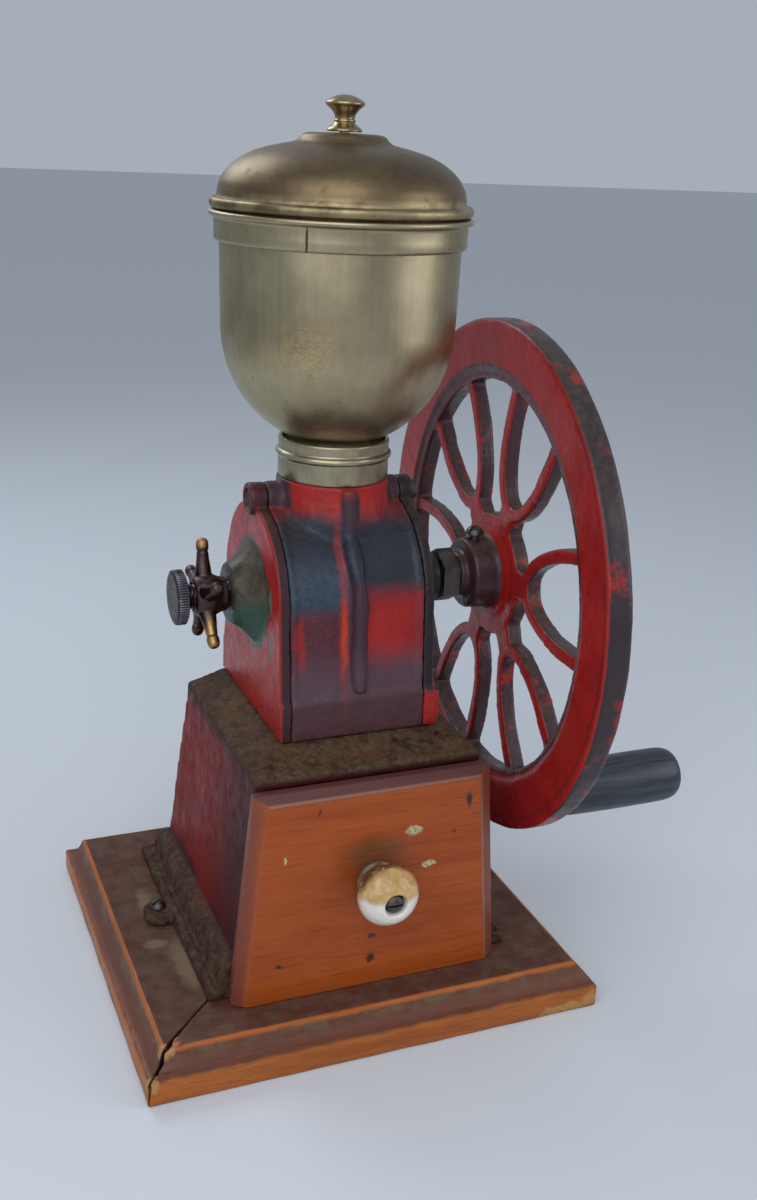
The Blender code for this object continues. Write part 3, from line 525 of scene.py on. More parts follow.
def finish_rail(name, along):
    """A moulded rail: dark cove, a painted highlight on the top edge, dusty top, chips, and the crack along the
    front left mitre.
    """
    paint = wood(name, (0.45, 0.135, 0.022), (0.24, 0.055, 0.010), along, 0.44, 0.0)
    height = paint.split(paint.warped(6, 1.6))[Z]
    ogee = paint.mul(paint.level(height, 9.4, 11.0), paint.level(height, 18.3, 16.6))
    ridge_highlight = paint.mul(paint.level(height, 17.0, 18.2), paint.level(paint.normal_z, 0.999, 0.985))
    flat = paint.mul(paint.level(paint.z, 18.0, 18.7), paint.level(paint.normal_z, 0.96, 0.995))
    dusty = paint.patches(7, 0.36, 0.66, 5, 0.6)
    tone = paint.over(paint.tone, (0.085, 0.030, 0.024), ogee, 0.85)
    olive = paint.mul(ogee, paint.level(height, 12.0, 16.5), dusty)
    tone = paint.over(tone, (0.13, 0.105, 0.052), olive, 0.75)
    # Painted highlight: the rounded top edge is lightened where light would catch it, more in some places than
    # in others.
    highlight_strength = paint.level(paint.noise(9, 5, 0.65), 0.34, 0.64, 0.10, 0.70)
    tone = paint.over(tone, (0.36, 0.095, 0.022), ridge_highlight, highlight_strength)
    top = paint.blend(dusty, (0.062, 0.022, 0.017), (0.085, 0.050, 0.034))
    tone = paint.over(tone, top, flat, 0.93)
    torn = paint.warped(3.2, 5.5)
    chips = paint.blobs([((-86.5, -80, 17.5), (3.6, 3.4, 3.4)), ((-93, -86.5, 8.5), (3.0, 2.6, 2.6)),
                         ((80, -88, 2.5), (11, 3, 2.0)), ((92, -88, 5), (3.5, 3, 3.6))], 0.25, torn)
    tone = paint.over(tone, (0.42, 0.22, 0.070), chips, 0.8)
    dusting = paint.blobs([((-75, -14, BASE_TOP), (4.6, 3.2, 4)), ((-66, -32, BASE_TOP), (5, 16, 4)),
                           ((-72, 18, BASE_TOP), (3, 10, 4))], 0.5, torn)
    tone = paint.over(tone, (0.23, 0.17, 0.095), dusting, 0.55)
    mitre = paint.math("SUBTRACT", paint.math("SUBTRACT", paint.x, paint.y), BASE_Y - BASE_X)
    wander = paint.math("SUBTRACT", paint.mul(paint.noise(5, 4, 0.6), 3.4), 1.7)
    gap = paint.level(paint.away(paint.add(mitre, wander)), 1.0, 0.3)
    gap = paint.mul(gap, paint.level(paint.x, -46, -50), paint.level(paint.z, 7, 10))
    tone = paint.over(tone, (0.012, 0.006, 0.004), gap, 0.95)
    paint.colour(paint.over(tone, (0.30, 0.20, 0.10), paint.patches(2.2, 0.66, 0.76, 5, 0.7), 0.45))
    paint.rough(paint.add(paint.mul(flat, 0.30), paint.level(paint.noise(12), 0.3, 0.7, 0.34, 0.52)))
    return paint.bump((paint.grain, 0.12), (paint.pores, -0.08), (dusty, 0.05))


def finish_bare_wood():
    paint = wood("bare_wood", (0.42, 0.24, 0.12), (0.26, 0.13, 0.06), "Y", 0.68, 0.0)
    paint.colour(paint.over(paint.tone, (0.10, 0.055, 0.030), paint.patches(18, 0.45, 0.72, 4, 0.6), 0.5))
    return paint.bump((paint.grain, 0.15), (paint.pores, -0.12))


def finish_enamel(name, dark, dust, black, gloss, stain=None, coat=0.05, shine=0.3, grit=0.10):
    """Old red enamel on cast iron. dark and dust take the paint and give where each one lies."""
    paint = Paint(name, coat=coat, coat_roughness=0.15, shine=shine)
    red = paint.shades(paint.noise(16, 4, 0.6), (0.3, (0.27, 0.009, 0.008)), (0.7, (0.38, 0.016, 0.012)))
    tone = paint.blend(dark(paint), red, black)
    # The housing's stain function also lays painted reflections of the sky on the drum.
    if stain:
        tone = stain(paint, tone)
    worn = paint.mul(paint.edges(0.53, 0.57), paint.patches(3, 0.40, 0.58, 5, 0.7))
    tone = paint.over(tone, (0.14, 0.085, 0.075), worn, 0.6)
    dust_share = dust(paint)
    grime = paint.shades(paint.noise(2.2, 5, 0.7), (0.35, (0.050, 0.030, 0.020)),
                         (0.65, (0.115, 0.085, 0.045)))
    tone = paint.over(tone, grime, dust_share)
    paint.colour(paint.over(tone, (0.014, 0.010, 0.010), paint.patches(0.9, 0.68, 0.76, 2, 0.5), 0.4))
    base = paint.level(paint.noise(6, 5, 0.6), 0.3, 0.7, gloss - 0.06, gloss + 0.14)
    paint.rough(paint.math("ADD", base, paint.mul(dust_share, 0.4), True))
    return paint.bump((paint.noise(1.3, 4, 0.6), grit), (paint.noise(5, 3, 0.5), 0.25))


def dust_on_tops(reach, low=0.55, high=0.92):
    """Gives the dust function of an enamel: reach is its share, low and high how level the skin must lie."""
    def dust(paint):
        return paint.mul(paint.level(paint.normal_z, low, high), paint.patches(4, 0.34, 0.62, 6, 0.65), reach)
    return dust


def finish_box():
    def dark(paint):
        _, y, z = paint.split(paint.warped(18, 16))
        streaks = paint.patches(7, 0.50, 0.70, 5, 0.65, paint.stretch(1, 1, 0.25))
        return paint.most(paint.mul(paint.level(y, 12, -56), 0.88), paint.mul(streaks, 0.6),
                          paint.level(paint.z, 101, 111), paint.level(z, 46, 35))

    def dust(paint):
        top = paint.mul(paint.level(paint.z, 109, 112.5), 0.9)
        skirt = paint.mul(paint.level(paint.z, 39, 35), 0.75)
        return paint.mul(paint.most(top, skirt), paint.patches(5, 0.30, 0.62, 6, 0.65))

    def stain(paint, tone):
        tone = paint.blend(0.55, tone, (0.050, 0.003, 0.002))
        brown = paint.mul(paint.level(paint.z, 110, 113), paint.patches(14, 0.42, 0.62, 4, 0.6))
        return paint.over(tone, (0.115, 0.048, 0.022), brown, 0.8)

    return finish_enamel("box_paint", dark, dust, ENAMEL_BLACK, 0.42, stain, coat=0.0, shine=0.10)


def finish_housing():
    def dark(paint):
        """Dark above, below and on the left. Red stays on the lower right and in a strip by the rib."""
        warped = paint.warped(8, 6)
        x, _, z = paint.split(warped)
        below_neck = paint.level(z, 206, 198)
        upper = paint.mul(paint.level(z, 166, 180), paint.level(z, 206, 196))
        left = paint.mul(paint.level(paint.x, 2, -3), paint.level(z, 158, 172), below_neck)
        speckle = paint.patches(1.5, 0.30, 0.60, 4, 0.7, paint.stretch(0.5, 1, 1.6))
        middle = paint.mul(paint.level(paint.x, 1, -3), paint.level(speckle, 0, 1, 0.55, 0.85))
        edge_strip = paint.mul(paint.blob((-22.5, -38, 154), (2.2, 12, 12), 0.35, warped), 0.7)
        middle = paint.mul(middle, paint.invert(edge_strip), paint.level(z, 205, 196))
        lower = paint.mul(paint.level(z, 154, 139), 0.86)
        right_edge = paint.mul(paint.level(x, 22, 28), 0.35)
        total = paint.most(upper, lower, left, middle, right_edge)
        worn = paint.blob((-4.6, -38, 168), (1.8, 22, 40), 0.6, paint.warped(4, 3))
        worn = paint.mul(worn, paint.level(paint.z, 120, 150, 0.45, 0.85))
        from_rib = paint.away(paint.x, RIB_X)
        rib = paint.mul(paint.level(from_rib, 4.6, 3.4), paint.level(paint.z, 216, 207))
        ears = paint.mul(paint.level(paint.z, 201, 204), paint.level(from_rib, 18.5, 20.5))
        return paint.most(paint.mul(total, paint.invert(worn)), paint.mul(paint.most(rib, ears), 0.9))

    # Stains, and painted reflections of the sky: the mauve grey on the cove and the bluish sheen on the drum.
    def stain(paint, tone):
        x, _, z = paint.split(paint.warped(8, 6))
        # Painted reflection: the cove above the ledge faces up, and the sky's reflection on it is painted as a
        # mauve grey.
        cove_reflection = paint.mul(paint.level(z, 156, 141), paint.level(paint.z, 130.5, 135))
        tone = paint.over(tone, (0.105, 0.062, 0.078), cove_reflection, 0.55)
        tone = paint.over(tone, (0.080, 0.030, 0.033), paint.level(paint.z, 134.5, 131), 0.7)
        sheen = paint.mul(paint.level(z, 164, 174), paint.level(z, 192, 180), paint.level(x, -1, -4),
                          paint.level(paint.noise(2.0, 5, 0.7), 0.25, 0.65, 0.3, 1.0))
        tone = paint.over(tone, (0.060, 0.090, 0.130), sheen, 0.55)
        orange = paint.blob((-4.4, -38, 158), (1.2, 12, 14), 0.6, paint.warped(4, 2.6))
        return paint.over(tone, (0.50, 0.052, 0.018), orange, 0.75)

    return finish_enamel("housing_paint", dark, dust_on_tops(0.35, 0.6, 0.95), (0.017, 0.022, 0.034), 0.42,
                         stain, grit=0.22)


def finish_left_cover():
    def dark(paint):
        rim = paint.mul(paint.level(paint.x, -30.9, -30.0), 0.93)
        streaks = paint.patches(4, 0.58, 0.70, 5, 0.7, paint.stretch(1, 1, 0.22))
        streaks = paint.mul(streaks, paint.level(paint.z, 160, 188), 0.75)
        ear = paint.mul(paint.blob((-31, 0, AT_EARS[Z]), (5, 7.6, 7.6), 0.12), 0.85)
        return paint.most(rim, ear, streaks)

    def stain(paint, tone):
        warped = paint.warped(7, 7)
        boss = paint.blob((-31, -1, AXLE_Z), (14, 23.0, 23.0), 0.05, warped)
        brown = paint.shades(paint.noise(6, 5, 0.65), (0.35, (0.034, 0.026, 0.020)),
                             (0.68, (0.090, 0.070, 0.048)))
        tone = paint.over(tone, brown, boss)
        green = paint.mul(boss, paint.blob((-35, -14, 154), (12, 15, 13), 0.45, warped))
        tone = paint.over(tone, (0.022, 0.072, 0.048), green, 0.85)
        teal = paint.blobs([((-31, -27, 152), (2, 2.6, 6)), ((-31, -25, 170), (2, 1.6, 5))], 0.2, warped)
        return paint.over(tone, (0.055, 0.145, 0.105), teal, 0.85)

    return finish_enamel("left_cover_paint", dark, dust_on_tops(0.3), (0.024, 0.018, 0.022), 0.26, stain,
                         shine=0.22)


def finish_right_cover():
    def dark(paint):
        low = paint.level(paint.split(paint.warped(9, 5))[Z], 134, 131)
        return paint.invert(paint.mul(low, 0.9))

    return finish_enamel("right_cover_paint", dark, dust_on_tops(0.4), ENAMEL_BLACK, 0.38)


def finish_wheel():
    def dark(paint):
        """The tread, the arms' edges, the lips' grooves and the hub are dark."""
        flat = paint.vector("MULTIPLY", paint.vector("SUBTRACT", paint.mm, ON_AXLE), (0, 1, 1))
        away = paint.vector("LENGTH", flat)
        sideways = paint.invert(paint.level(paint.away(paint.normal_x), 0.50, 0.80))
        tread = paint.mul(sideways, paint.level(away, 103, 106), paint.patches(20, 0.66, 0.52, 5, 0.65), 0.97)
        arms = paint.mul(sideways, paint.level(away, 104, 100), paint.patches(9, 0.30, 0.46, 4, 0.6), 0.92)
        groove = paint.mul(paint.level(away, 105.2, 105.7), paint.level(away, 106.9, 106.4), 0.5)
        lip = paint.mul(paint.level(away, 88.6, 87.8), paint.level(away, 82, 83), 0.75)
        hub = paint.mul(paint.level(away, 17.5, 15.5), paint.level(paint.x, 75.5, 74.5), 0.92)
        chips = paint.mul(paint.patches(3.5, 0.66, 0.72, 5, 0.7), 0.7)
        return paint.most(tread, arms, groove, lip, hub, chips)

    return finish_enamel("wheel_paint", dark, dust_on_tops(0.45, 0.3, 0.9), (0.022, 0.021, 0.025), 0.28)


def finish_brass(name, light, dark, roughness):
    paint = Paint(name, metallic=1.0)
    paint.brushed = paint.noise(2.4, 4, 0.6, paint.stretch(1, 1, 0.06))
    cloud = paint.noise(22, 4, 0.6)
    mottle = paint.add(paint.mul(paint.brushed, 0.3), paint.mul(cloud, 0.7))
    tone = paint.shades(mottle, (0.32, dark), (0.68, light))
    paint.stains = paint.patches(6, 0.56, 0.74, 6, 0.7)
    tone = paint.over(tone, dim(dark, 0.55), paint.stains, 0.35)
    paint.tone = paint.over(tone, dim(dark, 0.3), paint.patches(1.6, 0.70, 0.76, 3, 0.6), 0.5)
    dull = paint.add(paint.mul(cloud, 0.5), paint.mul(paint.stains, 0.5))
    paint.rough(paint.level(dull, 0.2, 0.8, roughness - 0.05, roughness + 0.18))
    return paint


def finish_bowl():
    """Brass with a scratched patch on the front and the seam of the rolled band."""
    paint = finish_brass("bowl_brass", (0.46, 0.39, 0.25), (0.30, 0.245, 0.145), 0.40)
    scratched = paint.mul(paint.blob((-26, -38, 268), (12, 20, 9), 0.6, paint.warped(5, 8)),
                          paint.patches(1.6, 0.45, 0.56, 6, 0.75, paint.stretch(1, 1, 1.8)))
    tone = paint.over(paint.tone, (0.62, 0.45, 0.18), scratched, 0.5)
    seam = paint.blob((-25.1, -39.1, 306), (0.35, 2.5, 4.4), 0.2)
    paint.colour(paint.over(tone, (0.05, 0.035, 0.02), seam, 0.9))
    return paint.bump((paint.brushed, 0.012), (paint.noise(26, 2), 0.35), (paint.stains, 0.02), (seam, -0.2))


def finish_lid():
    paint = finish_brass("lid_brass", (0.215, 0.155, 0.080), (0.130, 0.092, 0.055), 0.46)
    red_spots = paint.patches(3.2, 0.60, 0.70, 5, 0.7)
    tone = paint.over(paint.tone, (0.16, 0.06, 0.035), red_spots, 0.5)
    rim = paint.mul(paint.level(paint.z, 321, 318.6), paint.level(paint.z, 312, 316))
    worn = paint.mul(rim, paint.patches(10, 0.35, 0.6, 3, 0.5))
    paint.colour(paint.over(tone, (0.42, 0.34, 0.19), worn, 0.7))
    return paint.bump((paint.noise(24, 2), 0.3), (paint.stains, 0.03), (red_spots, 0.02))


def finish_collar():
    paint = finish_brass("collar_brass", (0.47, 0.42, 0.29), (0.29, 0.245, 0.16), 0.40)
    paint.colour(paint.tone)
    return paint.bump((paint.brushed, 0.012), (paint.stains, 0.02))


def finish_knob_brass():
    paint = finish_brass("knob_brass", (0.42, 0.34, 0.20), (0.20, 0.13, 0.07), 0.30)
    paint.colour(paint.tone)
    return paint.bump((paint.stains, 0.02))


def finish_metal(name, light, dark, roughness, size=5, bare=None, bright=None):
    """Worn metal. bare takes the paint and gives the bright colour's share: worn spots, and painted glints on
    knurls.
    """
    paint = Paint(name, metallic=1.0)
    cloud = paint.noise(size, 5, 0.65)
    grime = paint.patches(size * 0.5, 0.56, 0.7, 5, 0.7)
    tone = paint.over(paint.shades(cloud, (0.32, dark), (0.68, light)), dim(dark, 0.3), grime, 0.5)
    if bare:
        tone = paint.over(tone, bright, bare(paint))
    paint.colour(tone)
    paint.rough(paint.level(cloud, 0.3, 0.7, roughness - 0.08, roughness + 0.18))
    return paint.bump((paint.noise(1.2, 4, 0.6), 0.05), (grime, -0.04))


# Painted glints: the sharp knurl rims get a bright steel blue where light would glint on them.
def knurl_glints(paint):
    return paint.mul(paint.edges(0.52, 0.56), 0.8)


def rubbed_star(paint):
    arms = paint.blobs([((-50.5, -11, 151), (3.2, 9, 9)), ((-50.5, 2.5, 188), (2.8, 3, 2.6))], 0.3,
                       paint.warped(4, 2.5))
    return paint.most(paint.mul(arms, 0.8), paint.mul(paint.edges(0.54, 0.60), 0.7))


def finish_porcelain():
    """White glaze, stained amber above and behind, with a burnt brown patch and a dirty neck."""
    paint = Paint("porcelain", roughness=0.14, coat=0.3)
    warped = paint.warped(6, 3.5)
    _, y, z = paint.split(warped)
    stain = paint.most(paint.level(z, 67.0, 70.5), paint.mul(paint.level(y, -84.5, -76), 0.8))
    amber = paint.shades(paint.noise(4, 4, 0.6, warped), (0.35, (0.40, 0.20, 0.035)),
                         (0.65, (0.62, 0.40, 0.14)))
    tone = paint.over((0.74, 0.71, 0.64), amber, stain, 0.92)
    burnt = paint.mul(paint.level(y, -83.5, -79), paint.level(z, 68, 74),
                      paint.patches(3.2, 0.34, 0.50, 4, 0.6))
    tone = paint.over(tone, (0.085, 0.030, 0.016), burnt, 0.92)
    tone = paint.over(tone, (0.12, 0.060, 0.025), paint.level(paint.y, -75.5, -72.5), 0.9)
    crazing = paint.node("ShaderNodeTexVoronoi", {"Vector": warped, "Scale": 1 / 5},
                         feature="DISTANCE_TO_EDGE")
    cracks = paint.level(crazing.outputs["Distance"], 0.035, 0.0)
    paint.colour(paint.over(tone, (0.16, 0.10, 0.06), cracks, 0.18))
    return paint.bump((paint.noise(8, 2), 0.1))


def finish_grip():
    paint = Paint("grip_lacquer", coat=0.2)
    streak = paint.noise(1.6, 4, 0.6, paint.stretch(0.05, 1, 1))
    paint.colour(paint.shades(streak, (0.35, (0.018, 0.022, 0.030)), (0.65, (0.040, 0.048, 0.064))))
    paint.rough(paint.level(paint.noise(7, 5, 0.6), 0.3, 0.7, 0.34, 0.52))
    return paint.bump((streak, 0.05))


# ---------------------------------------------------------------- base, box and drawer
def rail(name, node, reach, distance, degrees, paint):
    """One mitred rail, cut as a row of slices. The front one's left end is torn open."""
    profile = [(RAIL_WIDTH, 0.0), (22, 0.0), (1.4, 0.0), (0.4, 0.35), (0.0, 1.4), (0, 3.5), (0, 6.5)]
    profile += run((0, 9.0), (0.3, 10.1), (1.0, 10.6), (2.1, 11.0), (3.4, 11.8), (4.7, 12.9), (5.6, 14.3),
                   (6.3, 16.2), (6.8, 17.7), (7.5, 18.6), (8.6, BASE_TOP), per=3)
    profile += [(u, BASE_TOP) for u in range(10, int(RAIL_WIDTH) + 1, 2)]
    spin = Matrix.Rotation(math.radians(degrees), 3, "Z")
    slices = 72
    torn = node == "base_rail_front"
    rings = []
    for i in range(slices + 1):
        t = -1 + 2 * i / slices
        ring = []
        for u, z in profile:
            x = t * (reach - u - 0.25)
            wear = 0.25 * noise.noise(Vector((x * 0.07, u * 0.2, z * 0.2)))
            if torn and t < 0:
                near = max(0.0, 1 + (x + reach - u) / -9.0)
                jag = 0.9 + 1.5 * noise.noise(Vector((u * 0.35, z * 0.3, 3.1)))
                x += max(jag, 0.25) * near * min(1.0, z / 8)
                if 3 < u < 11 and z > 9:
                    z -= 1.5 * near * near
            place = Vector((x, u - distance + wear * (u < 9), z - abs(wear) * 0.3 * (z > 1)))
            ring.append(tuple(spin @ place))
        rings.append(ring)
    finish(loft(name, rings), "frame", paint, "wood_rail", node, sharp=50)


def build_base():
    across = finish_rail("rail_wood_across", "X")
    deep = finish_rail("rail_wood_deep", "Y")
    rail("rail_front", "base_rail_front", BASE_X, BASE_Y, 0, across)
    rail("rail_back", "base_rail_back", BASE_X, BASE_Y, 180, across)
    rail("rail_right", "base_rail_right", BASE_Y, BASE_X, 90, deep)
    rail("rail_left", "base_rail_left", BASE_Y, BASE_X, -90, deep)


def box_ring(z, grow, front):
    """The box's outline at a height, grown outwards."""
    share = (z - BOX_BOTTOM) / (BOX_TOP - BOX_BOTTOM)
    half = 55.5 - 9.0 * share + grow
    back = 49.5 - 8.5 * share + grow
    return [(-half, front, z), (half, front, z), (half, back, z), (-half, back, z)]


def build_box():
    heights = (BOX_BOTTOM, 40, 60, 80, 100, 111.8)
    body = loft("body", [box_ring(z, 0, -59.6 + 0.005 * (z - 19)) for z in heights])
    moulding = [(9.5, 19.3), (9.5, 22.4), (9.1, 23.8), (8.1, 24.8), (7.0, 24.9), (6.1, 24.1), (5.7, 22.6),
                (5.2, 22.4), (5.0, 24.0), (5.1, 26.4), (4.9, 29.0), (4.3, 31.8), (3.4, 33.9), (2.2, 35.3),
                (0.7, 36.0), (-1.5, 36.2)]
    parts = [body, loft("skirt", [box_ring(z, grow, -59.6) for grow, z in moulding])]
    lug = [(0, 19.3), (6.4, 19.3), (6.4, 22.2), (5.6, 23.2), (0, 23.2)]
    lobe = [(0, 19.3), (6.6, 19.3), (6.6, 21.6), (5.4, 22.9), (0, 22.9)]
    for x, y in LUGS:
        parts.append(lathe("lug", lug, (x, y, 0), steps=48))
        parts.append(lathe("lobe", lobe, (x, y - 3.6, 0), steps=48))
        wall = x + math.copysign(5, -x)
        parts.append(block("web", (min(x, wall), -2.6, 19.3), (max(x, wall), 11.4, 22.6)))
    top = box_ring(BOX_TOP - 1, 0, -59.2)
    sloped = [[(x, y, 108.2) for x, y, _ in top], top, [(x * 0.993, y * 0.993, BOX_TOP) for x, y, _ in top]]
    crown = [(x, y, SHOULDER_TOP) for x, y in ((-32.0, -42.0), (36.7, -42.0), (36.7, 40.8), (-32.0, 40.8))]
    parts.append(loft("shoulder", sloped + [crown]))
    box = merge("box", *parts)
    hollow = loft("hollow", [box_ring(z, -4.0, -80.0) for z in (BOX_BOTTOM - 2, 50, 80, 108)])
    holes = [block("chute", (-26.0, -12, 104), (-17.5, 12, 119))]
    holes += [rod("hole", 2.4, 100, 120, at, steps=24) for at in HOLD_DOWNS]
    holes += [rod("hole", 2.3, 18, 25, (x, y, 0), steps=24) for x, y in LUGS]
    cut(box, hollow, *holes)
    cast_iron(box, 0.95, 4, ((12, 0.25), (3, 0.10)), "frame", finish_box(), "iron_red", "box_casting")


def slotted(name, at, along, head, shank, length, paint, node, body, slot, height=2.6):
    """A round-headed slotted screw. at is the middle of the head's underside."""
    dome = run((0, height), (head * 0.45, height * 0.94), (head * 0.8, height * 0.62), (head, height * 0.12),
               per=5)
    made = lathe(name, dome + [(head, 0), (shank, 0), (shank, -length), (0, -length)], at, along, 40)
    groove = block("slot", (-head - 1, -0.45, height * 0.5), (head + 1, 0.45, height + 2))
    turn = Euler({"-Y": (math.pi / 2, 0, 0), "Z": (0, 0, 0.5)}[along])
    groove.data.transform(Matrix.Translation(Vector(at) * MM) @ turn.to_matrix().to_4x4())
    cut(made, groove)
    finish(made, body, paint, slot, node, sharp=35)


def weld(made):
    shape = bmesh.new()
    shape.from_mesh(made.data)
    bmesh.ops.remove_doubles(shape, verts=shape.verts, dist=0.00001)
    bmesh.ops.dissolve_limit(shape, angle_limit=0.01, verts=shape.verts, edges=shape.edges)
    shape.to_mesh(made.data)
    shape.free()


def build_drawer():
    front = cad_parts["drawer_front"]
    face = linked("drawer_face", front.data.copy())
    face.matrix_world = front.matrix_world
    weld(face)
    bevelled(face, 0.55, 3)
    finish(face, "drawer", finish_drawer_face(), "wood_front", "drawer_front", sharp=25)
    bare = finish_bare_wood()
    for node in ("drawer_side_left", "drawer_side_right", "drawer_back", "drawer_bottom"):
        low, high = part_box(node)
        board = block(node + "_board", low / MM, high / MM)
        bevelled(board, 0.4, 2)
        finish(board, "drawer", bare, "wood_panel", node, sharp=25)
    profile = [(2.5, 0.0), (8.3, 0.0)]
    profile += run((8.5, 0.3), (8.5, 1.4), (7.6, 2.3), (6.5, 3.0), (6.2, 4.2), (7.4, 5.3), (9.8, 6.9),
                   (11.6, 9.2), (12.2, 12.0), (11.8, 14.6), (10.4, 17.0), (8.3, 19.2), (6.0, 20.4),
                   (4.9, 20.5), (4.5, 20.0), (4.4, 18.6), per=5)
    profile += [(4.4, 18.0), (2.5, 18.0)]
    knob = lathe("knob", profile, (KNOB_X, -67.8, KNOB_Z), "-Y", 96, ring=True)
    finish(knob, "drawer", finish_porcelain(), "porcelain", "drawer_knob", sharp=60)


# ---------------------------------------------------------------- housing
def mirrored(right):
    return right + [(-y, z) for y, z in reversed(right)]


def arch(inset=0.0, foot=41.0):
    """The drum's outline: a round top, straight flanks and a ledge above the foot."""
    ledge = 133.0
    right = [(foot - inset, SHOULDER_TOP + 0.3), (foot - inset, ledge - 0.6), (foot - inset - 0.5, ledge),
             (39.6 - inset, ledge + 0.6), (39.4 - inset, ledge + 2)]
    left = [(-y, z) for y, z in reversed(right)]
    return right + arc(36.5 - inset, 0, 180, 80, (0, AXLE_Z)) + left


def rib(path, side):
    """A rib from the ledge up to the collar, a little wavy along its length."""
    rings = []
    for i, (reach, z) in enumerate(path):
        before, after = path[max(i - 1, 0)], path[min(i + 1, len(path) - 1)]
        along = Vector((0, side * (before[0] - after[0]), after[1] - before[1])).normalized()
        out = Vector((0, -side * along.z, side * along.y))
        sway = 0.55 * math.sin(z * 0.16) - 1.6 * max(0, (z - 185) / 27)
        width = 3.2 + 0.4 * math.sin(z * 0.31)
        centre = Vector((1.4 + sway, -side * reach, z))
        sideways = Vector((width, 0, 0))
        rings.append([centre + sideways * u + out * 3.5 * v for u, v in arc(1.0, 0, 360, 16)[:-1]])
    return loft("rib", rings)


def neck_share(at):
    """Where the housing's neck flows into its drum."""
    rise = min(max((at.z - 189) / 5, 0), 1)
    fall = min(max((209 - at.z) / 4, 0), 1)
    return rise * fall * (abs(at.x - RIB_X) < 26)


def build_housing():
    parts = [prism("drum", arch(0.9, 39.4), HOUSING_START + 0.5, HOUSING_END - 0.5),
             prism("lip", arch(), HOUSING_START, -24.2),
             prism("lip", arch(), 26.8, HOUSING_END)]
    foot = mirrored([(41, 117.3), (41, 132.6), (40, 133.4)])
    parts.append(prism("foot", foot, HOUSING_START, HOUSING_END))
    cove = mirrored([(40.4, 133.0), (39.4, 134.8), (38.8, 137), (38.0, 141), (37.2, 146)])
    parts.append(prism("cove", cove, -25.0, 27.5))
    climb = [(38.6, 135.5), (38.9, 141), (38.2, 150), (37.0, 160)] + arc(36.2, 3, 50, 22, (0, AXLE_Z))
    climb += [(23.5, 198), (22.8, 203), (22.2, 207), (21.8, 212)]
    parts += [rib(climb, 1), rib(climb, -1)]
    neck = [(0, 185), (25.8, 185), (25.4, 193)]
    neck += run((24.8, 199), (23.8, 203.0), (22.9, 207.0), (22.4, 210.4), (22.3, 213.0), per=4)
    neck += [(19.4, 213.0), (19.4, 222.0), (0, 222.0)]
    parts.append(lathe("neck", neck, UNDER_HOPPER, steps=96))
    parts += [rod("ear", 6.5, HOUSING_START, -17, AT_EARS, "X"), rod("ear", 6.5, 17, HOUSING_END, AT_EARS, "X")]
    housing = merge("housing", *parts)
    tools = [rod("chamber", 28.5, -28, 30, ON_AXLE, "X", 96),
             rod("throat", 15.5, 176, 223, UNDER_HOPPER, steps=64),
             block("outlet", (-26.0, -12, 116), (-17.5, 12, 146))]
    tools += [rod("hole", 2.4, start, end, AT_EARS, "X", 24) for start, end in ((-28, -20.4), (22.4, 30))]
    tools += [rod("hole", 2.4, 116, 126.5, at, steps=24) for at in HOLD_DOWNS]
    cut(housing, *tools)
    cast_iron(housing, 0.7, 5, ((9, 0.35), (2.2, 0.16)), "frame", finish_housing(), "iron_black",
              "grinder_housing", neck_share)


def build_covers():
    flare = run((21.4, 10.0), (19.4, 8.6), (16.6, 6.0), (14.0, 3.0), (12.4, 0.4), (11.6, -0.6), (10.8, -0.8),
                per=5)
    ear = [(0, -33.4), (5.8, -33.4), (6.4, -32.8), (6.4, -26.8), (0, -26.8)]
    sunk = [(0, -35), (4.3, -35), (4.3, -31.4), (2.4, -31.4), (2.4, -26), (0, -26)]
    left = merge("cover_left",
                 prism("plate", arch(), -31.0, -26.8),
                 lathe("boss", [(0, 10.0)] + flare + [(0, -0.8)], (-40.5, 0, AXLE_Z), "X", 96),
                 rod("inner", 9, -20.5, -27.5, ON_AXLE, "X", 64),
                 lathe("ear", ear, AT_EARS, "X", 48))
    cut(left, rod("bore", 5.5, -42, -19, ON_AXLE, "X"), lathe("hole", sunk, AT_EARS, "X", 32))
    cast_iron(left, 0.6, 4, ((14, 0.30), (2.5, 0.06)), "frame", finish_left_cover(), "iron_red", "left_cover")

    bearing = [(0, 30), (10.4, 30), (10.4, 47.9), (9.8, 48.5), (0, 48.5)]
    right = merge("cover_right",
                  prism("plate", arch(), 29.3, 33.5),
                  block("tab", (29.3, -41, 117.3), (35.7, 41, 132)),
                  lathe("bearing", bearing, ON_AXLE, "X", 96),
                  rod("ear", 6.3, 29.3, 35.0, AT_EARS, "X"))
    cut(right, rod("bore", 7.4, 28, 50, ON_AXLE, "X"), rod("hole", 2.4, 28, 37, AT_EARS, "X", 24))
    cast_iron(right, 0.7, 4, ((10, 0.25), (2.2, 0.12)), "frame", finish_right_cover(), "iron_black",
              "right_cover")


# ---------------------------------------------------------------- adjusting gear
THREAD_RADIUS, THREAD_DEPTH, THREAD_PITCH = 5.1, 0.45, 1.25
KNURL_RADIUS, KNURL_DEPTH, KNURLS = 10.8, 0.32, 64


def screw_teeth(radius, angle, height):
    """The knurls of the adjusting screw's head and the thread of its shank."""
    turns = angle / (2 * math.pi)
    if radius > KNURL_RADIUS - 0.5 and -63.0 < height < -58.9:
        return radius + KNURL_DEPTH * (abs(turns * KNURLS % 1 * 2 - 1) - 0.5)
    if radius == THREAD_RADIUS:
        return radius - THREAD_DEPTH * abs((height / THREAD_PITCH + turns) % 1 * 2 - 1)
    return radius


